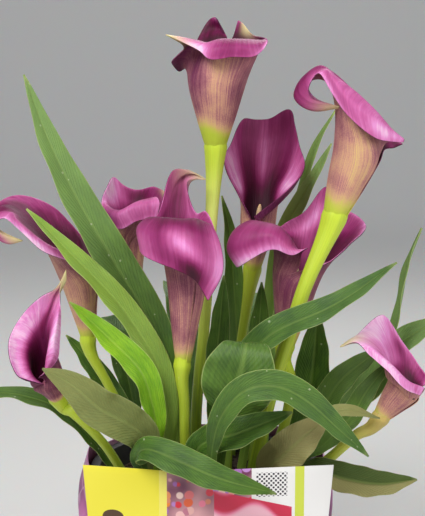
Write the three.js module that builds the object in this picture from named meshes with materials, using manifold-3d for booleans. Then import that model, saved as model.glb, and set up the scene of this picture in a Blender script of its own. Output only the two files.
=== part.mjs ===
import * as THREE from 'three';
import { mergeVertices } from 'three/addons/utils/BufferGeometryUtils.js';
import Module from 'manifold-3d';

// Potted calla lily: nine purple blooms and their lance-shaped leaves in a filled pot, which stands in a
// flared paper cover with a folded card on its front. Millimetres, +Z up, front towards -Y. The origin is
// the centre of the pot's flat underside.

const wasm = await Module();
wasm.setup();

// Clearance between pieces that touch
const GAP = 0.3;

// Pot and soil
const POT_HEIGHT = 125;
const POT_BASE_RADIUS = 58;
const POT_TOP_RADIUS = 77;
const POT_WALL = 1.8;
const LIP_DEPTH = 12;
const LIP_RADIUS = 82;
const LIP_DRAFT = 2;
const DRAIN_HOLES = 5;
const DRAIN_RADIUS = 5;
const DRAIN_CIRCLE = 38;
const SOIL_TOP = 110;
const FOOT_DEPTH = 14;
const BORE_CLEARANCE = 1;
const ROUND_SEGMENTS = 36;
const HOLE_SIDES = 6;
const START_DEPTHS = [FOOT_DEPTH, 3, -7];

// Paper cover: a loose sleeve round the pot, which bulges below its pointed corners
const COVER_FOOT = 1.5;
const COVER_WALL = 0.8;
const COVER_CORNERS = 6;
const COVER_LOW = 128.5;
const COVER_HIGH = 138;
const COVER_TAPER = 0.07;
const COVER_BULGE = 10.5;
const COVER_BULGE_START = 40;
const COVER_LEVELS = [0, 0.4, 0.55, 0.7, 0.85, 1];

// Card: two panels that meet at an upright crease in front of the cover
const CARD_THICKNESS = 0.8;
const CARD_BOTTOM = 50;
const CARD_TOP = 150;
const CARD_LEFT = -78.5;
const CARD_CREASE = -15;
const CARD_RIGHT = 83;
const CARD_DEPTH = 91;
const CARD_LEFT_TURN = 0.2;
const CARD_RIGHT_TURN = 0.13;
const CARD_TAPER = 0.1;

// Leaves
const LEAF_COLUMNS = 4;
const LEAF_ROWS = 10;
const PETIOLE_HALF = 3.2;
const PETIOLE_THICKNESS = 4.2;
const RIB_THICKNESS = 1.5;
const EDGE_THICKNESS = 0.8;
const TIP_HALF = 0.5;
const LANCE_FOOT = 0.8;
const LANCE_TIP = 0.85;

// Stalks, spathes and spadices
const STALK_SIDES = 7;
const STALK_STEPS = 9;
const STALK_CROWDING = 1.3;
const STALK_SWELL = 0.55;
const STALK_FLARE = 4.5;
const STALK_STRAIGHT = 8;
const SPATHE_COLUMNS = 20;
const SPATHE_ROWS = 10;
const SPATHE_THICKNESS = 0.9;
const FOLD_SHARE = 4 / 10;
const MARGIN_STEP = 1.1;
const WRAP_INSET = 1.7;
const SPADIX_LENGTH = 58;
const SPADIX_REACH = 1.2;
const SPADIX_RADIUS = 2.6;
const SPADIX_SIDES = 8;
const SPADIX_ROWS = 5;
const SPADIX_CROWN = 2;
const SPADIX_TAPER = 0.85;
const FLORET_BUMP = 1.14;

const COLOURS = {
  pot: '#2b2a2c',
  soil: '#2c2119',
  cover: '#b0508f',
  card: '#e6d233',
  stalk: '#a9c037',
  spathe: '#a04586',
  spadix: '#e2c592',
  darkLeaf: '#3f6130',
  limeLeaf: '#7fb02b',
  oliveLeaf: '#6f7f52',
};

// Each leaf has a route for its midrib, which starts at its foot on the soil. "width" is the widest half of
// the blade, "petiole" the share of the route before the blade, and "face" the way that the upper side looks
// at the foot and at the tip. "fold" is the angle that each half rises from the midrib at the foot and at
// the tip.
const LEAVES = {
  leaf_01: {
    foot: [-20, -6],
    route: [[-19, -12, 161], [-24, -18, 194], [-39, -22, 234], [-61, -25, 273], [-86, -22, 316],
      [-107, -14, 358], [-123, -5, 400]],
    width: 14.5, petiole: 0.12, face: [[0.3, -1, 0.1], [0.5, -0.8, 0.4]], fold: [30, 12],
  },
  leaf_02: {
    foot: [-25, -30],
    route: [[-24, -38, 161], [-26, -40, 186], [-34, -40, 211], [-51, -40, 239], [-67, -40, 259],
      [-92, -36, 284], [-119, -30, 311]],
    width: 10.5, petiole: 0.2, face: [[0.4, -1, 0.1], [0.5, -0.8, 0.5]], fold: [35, 20],
    colour: 'limeLeaf',
  },
  leaf_03: {
    foot: [-34, -40],
    route: [[-33, -50, 165], [-36, -52, 186], [-43, -53, 206], [-62, -52, 226], [-89, -48, 251]],
    width: 11, petiole: 0.3, face: [[0.4, -1, 0.1], [0.5, -0.8, 0.4]], fold: [35, 20],
    colour: 'limeLeaf',
  },
  leaf_04: {
    foot: [-38, -52],
    route: [[-38, -66, 160], [-49, -78, 177], [-66, -88, 190], [-82, -92, 206], [-101, -92, 217]],
    width: 14, petiole: 0.3, face: [[-0.3, 1, -0.4], [0.2, 1, -0.5]], fold: [-20, -10],
    colour: 'oliveLeaf',
  },
  leaf_05: {
    foot: [-58, -20],
    route: [[-69, -32, 140], [-82, -40, 160], [-96, -42, 175], [-114, -44, 184], [-137, -44, 188],
      [-161, -42, 182]],
    width: 8, petiole: 0.25, face: [[0.4, -0.8, 0.6], [0.2, -0.6, 1]], fold: [35, 15],
  },
  leaf_06: {
    foot: [-45, 6],
    route: [[-57, 14, 149], [-69, 20, 169], [-85, 24, 193], [-102, 26, 213]],
    width: 10, petiole: 0.25, face: [[0.4, -1, 0.3], [0.5, -0.8, 0.5]], fold: [30, 10],
  },
  leaf_07: {
    foot: [-28, -60],
    route: [[-42, -75, 150], [-37, -90, 164], [-18, -101, 161], [9, -110, 152], [44, -114, 144]],
    width: 11, petiole: 0.3, face: [[-0.2, -0.8, 0.6], [0.1, -0.8, 0.8]], fold: [25, 8],
  },
  leaf_08: {
    foot: [-8, -48],
    route: [[-6, -58, 150], [2, -64, 161], [20, -74, 169], [37, -78, 177], [56, -78, 185]],
    width: 12, petiole: 0.3, face: [[-0.2, -0.9, 0.5], [-0.2, -0.8, 0.7]], fold: [25, 8],
  },
  leaf_09: {
    foot: [4, -62],
    route: [[5, -80, 160], [11, -90, 186], [25, -94, 203], [44, -94, 206], [63, -94, 197], [85, -92, 177],
      [104, -88, 159]],
    width: 11, petiole: 0.3, face: [[-0.3, -0.9, 0.4], [0.3, -0.9, 0.6]], fold: [30, 15],
  },
  leaf_10: {
    foot: [40, -46],
    route: [[44, -58, 142], [51, -64, 151], [62, -68, 163], [80, -70, 180]],
    width: 14, petiole: 0.3, face: [[0.2, 1, -0.4], [0.3, 1, -0.4]], fold: [-15, -8],
    colour: 'oliveLeaf',
  },
  leaf_11: {
    foot: [50, -38],
    route: [[60, -50, 147], [71, -52, 165], [84, -54, 177], [97, -54, 179], [116, -52, 173]],
    width: 6, petiole: 0.3, face: [[0, 1, -0.6], [0, 1, -0.8]], fold: [-20, -10],
    colour: 'oliveLeaf',
  },
  leaf_12: {
    foot: [56, -27],
    route: [[64, -35, 131], [76, -44, 135], [94, -52, 131], [117, -56, 129], [141, -58, 133]],
    width: 12, petiole: 0.3, face: [[0, -0.8, 0.8], [0, -0.8, 0.8]], fold: [20, 8],
    colour: 'oliveLeaf',
  },
  leaf_13: {
    foot: [14, 34],
    route: [[22, 42, 164], [23, 44, 205], [21, 44, 239], [18, 42, 283], [12, 38, 314]],
    width: 9, petiole: 0.2, face: [[0, -1, 0], [0.4, -1, 0.2]], fold: [30, 15],
  },
  leaf_14: {
    foot: [44, 48],
    route: [[50, 66, 180], [55, 75, 226], [63, 77, 268], [73, 71, 313], [81, 62, 347], [95, 50, 376]],
    width: 5.5, petiole: 0.3, face: [[-0.3, -1, 0.2], [-0.6, -1, 0.3]], fold: [30, 15],
    colour: 'limeLeaf',
  },
  leaf_15: {
    foot: [13, -21],
    route: [[17, -28, 163], [20, -38, 190], [28, -46, 212], [46, -50, 231], [78, -56, 247], [98, -56, 259],
      [125, -52, 278]],
    width: 11, petiole: 0.2, face: [[-0.4, -0.9, 0.3], [-0.4, -0.8, 0.6]], fold: [30, 15],
  },
  leaf_16: {
    foot: [60, 4],
    route: [[72, 5, 137], [84, 6, 146], [101, 8, 158], [120, 8, 180], [132, 8, 206], [139, 8, 243],
      [143, 8, 268], [152, 8, 294]],
    width: 6, petiole: 0.3, face: [[-1, -0.3, 0.4], [-1, -0.3, 0.4]], fold: [30, 15],
  },
  leaf_17: {
    foot: [58, 16],
    route: [[72, 19, 137], [84, 20, 143], [101, 22, 155], [119, 24, 172], [136, 26, 199], [156, 26, 216],
      [180, 22, 227]],
    width: 13, petiole: 0.3, face: [[-0.6, -0.8, 0.5], [-0.4, -0.8, 0.7]], fold: [25, 10],
  },
  leaf_18: {
    foot: [56, -4],
    route: [[80, -4, 158], [87, -6, 174], [96, -8, 188], [107, -8, 198], [125, -8, 212]],
    width: 11, petiole: 0.3, face: [[-0.5, -0.9, 0.4], [-0.4, -0.9, 0.6]], fold: [25, 10],
  },
  leaf_19: {
    foot: [58, -11],
    route: [[72, -14, 136], [83, -17, 144], [102, -22, 167], [112, -22, 184], [129, -18, 205]],
    width: 9, petiole: 0.3, face: [[-0.5, -0.9, 0.4], [-0.4, -0.9, 0.5]], fold: [25, 10],
  },
  leaf_20: {
    foot: [48, 24],
    route: [[72, 28, 148], [77, 30, 171], [80, 30, 197], [82, 30, 229]],
    width: 14, petiole: 0.3, face: [[-0.2, -1, 0.1], [-0.2, -1, 0.2]], fold: [25, 10],
  },
  leaf_21: {
    foot: [26, 10],
    route: [[32, 8, 154], [35, 8, 184], [38, 8, 220], [40, 8, 255]],
    width: 10, petiole: 0.3, face: [[0, -1, 0], [0.2, -1, 0.2]], fold: [25, 12],
  },
  leaf_22: {
    foot: [2, -10],
    route: [[6, -6, 158], [7, -8, 195], [10, -8, 228], [13, -6, 262]],
    width: 9, petiole: 0.3, face: [[0.2, -1, 0], [0.2, -1, 0.2]], fold: [25, 12],
  },
  leaf_23: {
    foot: [34, 50],
    route: [[40, 59, 180], [49, 60, 232], [58, 58, 280], [71, 52, 310], [81, 44, 330], [91, 38, 352]],
    width: 8, petiole: 0.4, face: [[-0.3, -1, 0.2], [-0.6, -1, 0.3]], fold: [30, 15],
    colour: 'limeLeaf',
  },
  leaf_24: {
    foot: [-12, 58],
    route: [[-14, 70, 160], [-18, 92, 205], [-26, 130, 232], [-34, 172, 222]],
    width: 13, petiole: 0.25, face: [[0, -0.8, 0.6], [0, 0.1, 1]], fold: [30, 12],
  },
  leaf_25: {
    foot: [-48, 40],
    route: [[-56, 52, 155], [-66, 74, 190], [-80, 104, 208], [-98, 132, 200]],
    width: 12, petiole: 0.25, face: [[0.2, -0.7, 0.7], [-0.2, 0.2, 1]], fold: [30, 12],
  },
  leaf_26: {
    foot: [20, 62],
    route: [[26, 78, 160], [34, 104, 200], [46, 142, 220], [60, 178, 206]],
    width: 12, petiole: 0.25, face: [[0, -0.8, 0.6], [0, 0.1, 1]], fold: [30, 12],
  },
  leaf_27: {
    foot: [8, -29],
    route: [[13, -48, 160], [18, -60, 180], [21, -67, 198], [24, -69, 213], [26, -66, 223], [27, -60, 226],
      [27, -53, 222]],
    width: 25, petiole: 0.55, face: [[0, -1, 0], [0, 0, 0.3]], fold: [10, 6],
  },
};

// Each bloom has a stalk from its foot on the soil through "stem" to "base", where the spathe starts along
// "axis". "back" is the side that ends in the tail, "radius" the stalk's at its foot and at the spathe, and
// "tube" two [height, radius] rings of the spathe's tube. "wrap" is how far each margin comes round from the
// back, in half turns: the left one low and high, then the right one. "reach" is the spadix's length as a
// share of the tube's, where it isn't the usual one. "lips" holds lines on the spathe, ordered round it from
// one margin (at -1) over the back (0) to the other margin (1). Each line runs on from the tube to the
// spathe's edge, in millimetres from the base.
const BLOOMS = [
  {
    foot: [-6, 12], stem: [[-7, 4, 148], [-5, 6, 184], [0, 8, 234]], base: [7, 10, 350],
    axis: [0.03, -0.04, 1], back: [-0.75, -0.65, 0], radius: [4, 8.2], tube: [[20, 13.2], [45, 20]],
    wrap: [1.2, 1, 1.2, 1],
    lips: [
      { at: -1, line: [[11, 17, 74], [13, 20, 79], [16, 20, 89]] },
      { at: -0.88, line: [[19, 12, 74], [19, 15, 79], [19, 17, 87]] },
      { at: -0.8, line: [[25, 6, 70], [27, 8, 76], [26, 9, 78]] },
      { at: -0.7, line: [[30, -2, 67], [34, -4, 74], [36, -12, 73]] },
      { at: -0.5, line: [[25, -18, 64], [23, -18, 73], [24, -28, 68], [26, -28, 61]] },
      { at: -0.38, line: [[14, -21, 66], [13, -22, 73], [12, -31, 68], [10, -31, 61]] },
      { at: -0.25, line: [[4, -21, 67], [3, -22, 73], [-1, -32, 67], [-4, -32, 59]] },
      { at: -0.12, line: [[-5, -19, 70], [-8, -24, 70], [-12, -26, 66]] },
      { at: 0, line: [[-8, -14, 70], [-20, -20, 74], [-34, -25, 76]] },
      { at: 0.12, line: [[-12, -6, 70], [-17, -8, 71], [-21, -10, 68]] },
      { at: 0.2, line: [[-19, -2, 63], [-24, -4, 64], [-30, -6, 59]] },
      { at: 0.3, line: [[-22, 2, 58], [-25, 2, 59], [-29, 0, 56]] },
      { at: 0.4, line: [[-20, 10, 55], [-21, 11, 55], [-24, 10, 53]] },
      { at: 0.5, line: [[-9, 15, 72], [-9, 22, 80], [-5, 25, 89]] },
      { at: 0.75, line: [[0, 21, 76], [3, 25, 84], [0, 20, 91]] },
      { at: 1, line: [[9, 21, 75], [8, 24, 78], [5, 24, 80]] },
    ],
  },
  {
    foot: [32, -22], stem: [[42, -30, 172], [50, -35, 204], [59, -36, 234], [68, -35, 262]],
    base: [86, -30, 305],
    axis: [0.34, 0, 1], back: [-1, 0, 0.3], radius: [4.8, 8.8], tube: [[25, 12.6], [46, 16]],
    wrap: [1.2, 1, 1.2, 1],
    lips: [
      { at: -1, line: [[34, -3, 50], [41, -3, 51], [45, -6, 52], [44, -8, 50]] },
      { at: -0.75, line: [[22, -13, 60], [28, -12, 67], [23, -21, 66], [24, -21, 53]] },
      { at: -0.5, line: [[10, -17, 70], [12, -16, 82], [6, -25, 78], [9, -24, 64]] },
      { at: -0.28, line: [[3, -14, 75], [0, -13, 91], [-5, -19, 93], [-4, -21, 80]] },
      { at: -0.2, line: [[2, -11, 75], [-2, -9, 93], [-7, -11, 97], [-13, -13, 95]] },
      { at: -0.12, line: [[1, -6, 74], [-3, -4, 92], [-11, -6, 100], [-19, -8, 93], [-19, -10, 81]] },
      { at: 0, line: [[0, 1, 74], [-4, 3, 88], [-11, 3, 96], [-23, 1, 91],
        [-28, -2, 79], [-16, -6, 70], [5, -8, 73]] },
      { at: 0.12, line: [[1, 8, 74], [-1, 11, 86], [-9, 13, 93], [-19, 13, 90], [-26, 10, 81]] },
      { at: 0.2, line: [[2, 11, 75], [0, 14, 91], [-8, 17, 99], [-16, 17, 96], [-20, 16, 91]] },
      { at: 0.28, line: [[4, 15, 75], [1, 18, 93], [-6, 22, 100], [-12, 23, 97]] },
      { at: 0.5, line: [[14, 17, 70], [18, 21, 80], [22, 27, 75]] },
      { at: 0.75, line: [[27, 16, 57], [34, 20, 62], [40, 24, 56]] },
      { at: 1, line: [[34, 3, 45], [40, 3, 46], [45, 0, 49]] },
    ],
  },
  {
    foot: [16, 18], stem: [[18, 20, 150], [26, 26, 208]], reach: 1.65, base: [34, 33, 260],
    axis: [0.11, -0.1, 1], back: [0.1, 1, 0], radius: [3.4, 7], tube: [[16, 8.5], [30, 12]],
    wrap: [1.25, 1.05, 1.25, 1.05],
    lips: [
      { at: -1, line: [[-1, -13, 34], [-1, -14, 38], [-3, -16, 43]] },
      { at: -0.75, line: [[-6, -13, 45], [-9, -17, 54], [-13, -20, 61]] },
      { at: -0.5, line: [[-9, -3, 53], [-16, -7, 68], [-21, -9, 80]] },
      { at: -0.36, line: [[-6, 5, 55], [-11, 5, 76], [-15, 7, 93]] },
      { at: -0.25, line: [[-3, 12, 56], [-7, 15, 80], [-8, 19, 96], [-6, 23, 110]] },
      { at: -0.1, line: [[2, 16, 57], [1, 20, 81], [2, 24, 95], [3, 28, 109]] },
      { at: 0.08, line: [[9, 17, 57], [11, 22, 79], [13, 27, 95], [14, 31, 110]] },
      { at: 0.22, line: [[14, 15, 57], [22, 18, 79], [27, 22, 100], [28, 23, 117]] },
      { at: 0.3, line: [[16, 11, 56], [26, 11, 75], [30, 13, 93], [31, 14, 106]] },
      { at: 0.4, line: [[18, 5, 55], [29, 3, 74], [34, 3, 90]] },
      { at: 0.5, line: [[20, -1, 53], [31, -6, 65], [37, -9, 76]] },
      { at: 0.75, line: [[12, -13, 45], [20, -18, 52], [26, -21, 62]] },
      { at: 1, line: [[3, -16, 33], [2, -18, 37], [0, -19, 41]] },
    ],
  },
  {
    foot: [46, 4], stem: [[58, 4, 157], [61, 4, 184]], base: [57, 4, 209],
    axis: [0.14, 0, 1], back: [0.5, 1, 0], radius: [3.8, 7.2], tube: [[26, 12], [50, 17]],
    wrap: [1.2, 1, 1.2, 1],
    lips: [
      { at: -1, line: [[8, -18, 61], [9, -22, 70], [13, -28, 75]] },
      { at: -0.88, line: [[3, -18, 68], [1, -22, 81], [-1, -30, 76], [2, -30, 70]] },
      { at: -0.75, line: [[-3, -18, 71], [-7, -21, 89], [-12, -30, 84], [-12, -30, 74]] },
      { at: -0.5, line: [[-10, -2, 74], [-23, -4, 91], [-38, -12, 85], [-43, -16, 72], [-36, -18, 59]] },
      { at: -0.25, line: [[2, 18, 75], [1, 22, 80], [-3, 22, 84]] },
      { at: -0.1, line: [[14, 24, 74], [15, 28, 85], [15, 30, 94]] },
      { at: 0, line: [[20, 26, 74], [24, 32, 87], [27, 35, 99], [31, 36, 112]] },
      { at: 0.12, line: [[27, 24, 71], [35, 30, 85], [41, 33, 96]] },
      { at: 0.25, line: [[33, 20, 68], [43, 26, 81], [50, 28, 93]] },
      { at: 0.5, line: [[34, 4, 63], [44, 8, 73], [51, 11, 80], [58, 12, 85]] },
      { at: 0.65, line: [[29, -6, 61], [36, -5, 67], [44, -4, 74]] },
      { at: 0.82, line: [[21, -14, 59], [25, -16, 62], [30, -16, 64]] },
      { at: 1, line: [[13, -21, 60], [16, -25, 65], [20, -28, 62]] },
    ],
  },
  {
    foot: [-44, -8], stem: [[-54, 0, 150], [-70, 4, 182]], base: [-83, 5, 213],
    axis: [-0.13, 0, 1], back: [-1, -0.1, -0.3], radius: [3.2, 6], tube: [[24, 9], [46, 13.5]],
    wrap: [1.2, 1, 1.2, 1],
    lips: [
      { at: -1, line: [[7, -3, 44], [11, -5, 50], [14, -8, 52]] },
      { at: -0.75, line: [[-1, -14, 52], [-5, -18, 62], [-9, -24, 64], [-10, -26, 61]] },
      { at: -0.5, line: [[-16, -16, 59], [-22, -22, 70], [-28, -28, 75], [-27, -32, 69]] },
      { at: -0.25, line: [[-29, -12, 70], [-39, -18, 83], [-45, -24, 89], [-42, -27, 82]] },
      { at: -0.13, line: [[-31, -3, 72], [-45, -5, 88], [-52, -9, 93], [-57, -11, 89]] },
      { at: -0.06, line: [[-33, 0, 73], [-47, 0, 91], [-59, -3, 93], [-66, -5, 88], [-66, -6, 82]] },
      { at: 0, line: [[-34, 3, 75], [-49, 5, 92], [-61, 3, 96], [-68, 0, 87],
        [-64, -3, 75], [-54, -5, 70], [-43, -7, 73]] },
      { at: 0.06, line: [[-34, 7, 77], [-49, 10, 94], [-62, 8, 98], [-69, 5, 90], [-68, 1, 84]] },
      { at: 0.13, line: [[-33, 11, 78], [-48, 14, 96], [-59, 13, 100], [-66, 10, 96]] },
      { at: 0.25, line: [[-32, 17, 81], [-42, 20, 95], [-51, 19, 103]] },
      { at: 0.5, line: [[-18, 21, 73], [-23, 28, 85], [-28, 31, 93]] },
      { at: 0.75, line: [[-4, 17, 57], [-5, 23, 65], [-7, 27, 72]] },
      { at: 1, line: [[6, 2, 45], [9, 7, 50], [10, 11, 55]] },
    ],
  },
  {
    foot: [-50, -38], stem: [[-65, -54, 153], [-85, -60, 178]], base: [-96, -60, 189],
    axis: [-0.3, -0.45, 0.8], back: [0.4, 0.5, 0.75], radius: [3, 6.2], tube: [[10, 7], [20, 11]],
    wrap: [1.2, 1, 1.2, 1],
    lips: [
      { at: -1, line: [[-6, -18, 13], [-9, -26, 17], [-13, -28, 19]] },
      { at: -0.75, line: [[-13, -23, 22], [-18, -28, 21], [-21, -32, 24]] },
      { at: -0.5, line: [[-16, -18, 34], [-23, -23, 38], [-27, -27, 41]] },
      { at: -0.25, line: [[-13, -10, 45], [-19, -14, 53], [-23, -16, 54]] },
      { at: -0.12, line: [[-10, -6, 48], [-9, -8, 61], [-8, -9, 70]] },
      { at: -0.05, line: [[-9, -4, 48], [-5, -4, 62], [-2, -4, 70], [1, -5, 74]] },
      { at: 0, line: [[-7, -2, 47], [-3, 0, 63], [1, 0, 73], [6, -1, 77], [7, -2, 86]] },
      { at: 0.05, line: [[-6, -3, 46], [-1, -3, 61], [2, -3, 69], [3, -4, 73]] },
      { at: 0.12, line: [[-4, -5, 45], [0, -6, 59], [3, -6, 67]] },
      { at: 0.25, line: [[-3, -12, 40], [0, -18, 52], [3, -16, 58], [4, -10, 56]] },
      { at: 0.5, line: [[-3, -18, 33], [-1, -26, 42], [2, -25, 46], [4, -17, 42]] },
      { at: 0.75, line: [[-4, -20, 24], [-3, -27, 32], [1, -27, 35], [3, -21, 31]] },
      { at: 1, line: [[-5, -20, 15], [-6, -26, 20], [-8, -30, 21]] },
    ],
  },
  {
    foot: [-13, -28], stem: [[-14, -38, 154], [-14, -43, 182]], base: [-15, -45, 207],
    axis: [0.04, 0, 1], back: [0.05, 1, 0], radius: [3.4, 6], tube: [[26, 8.6], [58, 13]],
    wrap: [1.4, 1.3, 0.85, 0.8],
    lips: [
      { at: -1, line: [[12, -19, 78], [18, -17, 97], [24, -25, 89], [27, -30, 69], [17, -33, 49]] },
      { at: -0.87, line: [[6, -22, 80], [8, -21, 101], [10, -37, 93], [12, -40, 76], [9, -38, 64]] },
      { at: -0.75, line: [[-1, -22, 81], [-2, -22, 101], [-4, -35, 92], [-2, -37, 70]] },
      { at: -0.5, line: [[-14, -5, 84], [-21, -4, 100], [-29, -9, 94], [-27, -15, 79]] },
      { at: -0.25, line: [[-13, 17, 84], [-15, 21, 96], [-16, 23, 101]] },
      { at: -0.1, line: [[-7, 23, 83], [-10, 29, 100], [-8, 33, 115], [-6, 33, 130]] },
      { at: 0, line: [[-3, 26, 83], [-4, 32, 100], [-2, 36, 115],
        [1, 36, 129], [8, 32, 127], [16, 28, 122]] },
      { at: 0.1, line: [[1, 23, 83], [3, 29, 100], [3, 33, 112], [3, 33, 122]] },
      { at: 0.18, line: [[5, 21, 84], [7, 24, 93], [9, 25, 100]] },
      { at: 0.25, line: [[9, 17, 84], [12, 18, 95], [16, 19, 102]] },
      { at: 0.5, line: [[14, 3, 79], [18, 2, 91], [22, -1, 85], [25, -5, 72]] },
      { at: 0.75, line: [[12, -9, 71], [16, -11, 82], [20, -15, 75], [23, -19, 59]] },
      { at: 1, line: [[4, -12, 71], [6, -12, 78], [8, -12, 82]] },
    ],
  },
  {
    foot: [-34, 34], stem: [[-37, 36, 154], [-46, 42, 190]], base: [-55, 45, 232],
    axis: [-0.05, 0, 1], back: [-0.5, 1, 0], radius: [3.6, 6.6], tube: [[28, 9], [50, 12.5]],
    wrap: [1.2, 1, 1.2, 1],
    lips: [
      { at: -1, line: [[13, -15, 64], [19, -20, 82], [23, -28, 79], [21, -28, 69]] },
      { at: -0.83, line: [[5, -16, 62], [7, -22, 79], [4, -30, 76], [7, -30, 66]] },
      { at: -0.67, line: [[-5, -17, 61], [-5, -24, 73], [-9, -30, 70], [-6, -31, 60]] },
      { at: -0.33, line: [[-14, -1, 67], [-18, -3, 76], [-21, -7, 75]] },
      { at: -0.15, line: [[-12, 7, 67], [-16, 9, 78], [-18, 11, 89]] },
      { at: 0, line: [[-9, 13, 68], [-12, 18, 80], [-14, 20, 94]] },
      { at: 0.15, line: [[-4, 15, 67], [-5, 21, 77], [-6, 23, 87]] },
      { at: 0.33, line: [[1, 17, 66], [2, 22, 75], [3, 24, 84]] },
      { at: 0.55, line: [[9, 11, 66], [12, 17, 77], [15, 17, 87]] },
      { at: 0.75, line: [[15, 1, 65], [21, 1, 76], [26, -1, 83]] },
      { at: 1, line: [[16, -11, 60], [22, -15, 71], [25, -18, 73]] },
    ],
  },
  {
    foot: [50, -18], stem: [[70, -29, 131], [82, -34, 137], [102, -39, 157]], base: [118, -40, 170],
    axis: [0.6, -0.05, 0.8], back: [-0.8, 0.1, 0.6], radius: [3.4, 6.4], tube: [[13, 8.5], [26, 12]],
    wrap: [1.2, 1, 1.2, 1],
    lips: [
      { at: -1, line: [[25, -4, 15], [28, -8, 21], [27, -14, 24], [24, -16, 20]] },
      { at: -0.75, line: [[18, -13, 17], [18, -17, 27], [12, -23, 32], [12, -24, 26]] },
      { at: -0.5, line: [[10, -15, 25], [7, -19, 38], [0, -23, 44], [0, -25, 39]] },
      { at: -0.25, line: [[3, -10, 30], [-1, -13, 45], [-10, -17, 52], [-10, -20, 47]] },
      { at: -0.12, line: [[3, -6, 32], [-1, -8, 46], [-12, -11, 53], [-19, -13, 55]] },
      { at: 0, line: [[5, 0, 33], [-1, 1, 46], [-10, 0, 53], [-19, -4, 55], [-29, -10, 51]] },
      { at: 0.12, line: [[8, 6, 33], [3, 9, 48], [-6, 8, 58], [-16, 2, 57]] },
      { at: 0.25, line: [[12, 12, 33], [9, 17, 49], [4, 20, 67]] },
      { at: 0.5, line: [[19, 17, 30], [19, 21, 41], [17, 23, 50]] },
      { at: 0.75, line: [[24, 12, 23], [26, 16, 29], [28, 18, 34]] },
      { at: 1, line: [[27, 3, 19], [31, 3, 22], [33, 3, 26]] },
    ],
  },
];

// Plain helpers
const lerp = THREE.MathUtils.lerp;
const radians = THREE.MathUtils.degToRad;
const vector = (list) => new THREE.Vector3(...list);
const smooth = (x) => THREE.MathUtils.smoothstep(x, 0, 1);

function material(colour, roughness = 0.6) {
  return new THREE.MeshStandardMaterial({ color: colour, roughness, metalness: 0 });
}

function mesh(name, geometry, colour, roughness) {
  const piece = new THREE.Mesh(geometry, material(colour, roughness));
  piece.name = name;
  return piece;
}

// Leaves only positions on a geometry and joins the vertices that share a place
function welded(geometry) {
  geometry.deleteAttribute('normal');
  geometry.deleteAttribute('uv');
  return mergeVertices(geometry, 1e-4);
}

// Moves every vertex of a geometry to the place that the given function makes of it
function reshape(geometry, place) {
  const position = geometry.attributes.position;
  const point = new THREE.Vector3();
  for (let i = 0; i < position.count; i++) {
    point.fromBufferAttribute(position, i);
    const moved = place(point);
    position.setXYZ(i, moved.x, moved.y, moved.z);
  }
  return geometry;
}

// The edges round a plane's grid, in order and counterclockwise, as pairs of vertex numbers
function gridBorder(columns, rows) {
  const at = (column, row) => column + (columns + 1) * row;
  const loop = [];
  for (let i = 0; i < columns; i++) loop.push(at(i, rows));
  for (let j = rows; j > 0; j--) loop.push(at(columns, j));
  for (let i = columns; i > 0; i--) loop.push(at(i, 0));
  for (let j = 0; j < rows; j++) loop.push(at(0, j));
  return loop.map((start, k) => [start, loop[(k + 1) % loop.length]]);
}

// A closed sheet: a plane's grid is laid on surface(u, v), with u from -1 to 1 and v from 0 to 1, and gets
// a face on either side and a rim. Both faces are split along the same diagonals.
function sheet(columns, rows, surface, thickness) {
  const middle = new THREE.PlaneGeometry(2, 1, columns, rows);
  const halves = [];
  reshape(middle, (p) => {
    const v = p.y + 0.5;
    halves.push(thickness(p.x, v) / 2);
    return surface(p.x, v);
  });
  middle.computeVertexNormals();
  const { position, normal } = middle.attributes;
  const count = position.count;
  const places = [];
  const point = new THREE.Vector3();
  const offset = new THREE.Vector3();
  for (const side of [1, -1]) {
    for (let i = 0; i < count; i++) {
      offset.fromBufferAttribute(normal, i).multiplyScalar(side * halves[i]);
      point.fromBufferAttribute(position, i).add(offset);
      places.push(point.x, point.y, point.z);
    }
  }
  const faces = [];
  const grid = middle.index.array;
  for (let i = 0; i < grid.length; i += 3) {
    const [a, b, c] = [grid[i], grid[i + 1], grid[i + 2]];
    faces.push(a, b, c, count + a, count + c, count + b);
  }
  for (const [p, q] of gridBorder(columns, rows)) {
    faces.push(count + p, count + q, q, count + p, q, p);
  }
  const solid = new THREE.BufferGeometry();
  solid.setAttribute('position', new THREE.Float32BufferAttribute(places, 3));
  solid.setIndex(faces);
  return solid;
}

// Booleans for the pot and the soil
function solidOf(geometry) {
  const merged = welded(geometry);
  const vertProperties = new Float32Array(merged.attributes.position.array);
  const triVerts = new Uint32Array(merged.index.array);
  return new wasm.Manifold(new wasm.Mesh({ numProp: 3, vertProperties, triVerts }));
}

function geometryOf(solid) {
  const cut = solid.getMesh();
  const geometry = new THREE.BufferGeometry();
  geometry.setAttribute('position', new THREE.Float32BufferAttribute(cut.vertProperties, 3));
  geometry.setIndex(Array.from(cut.triVerts));
  return geometry;
}

// An upright round post, for drilling
function post(x, y, radius, bottom, top) {
  const length = top - bottom;
  const rod = new THREE.CylinderGeometry(radius, radius, length, HOLE_SIDES);
  rod.rotateX(Math.PI / 2);
  rod.translate(x, y, bottom + length / 2);
  return solidOf(rod);
}

function potWallRadius(z) {
  return lerp(POT_BASE_RADIUS, POT_TOP_RADIUS, z / POT_HEIGHT);
}

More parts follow.
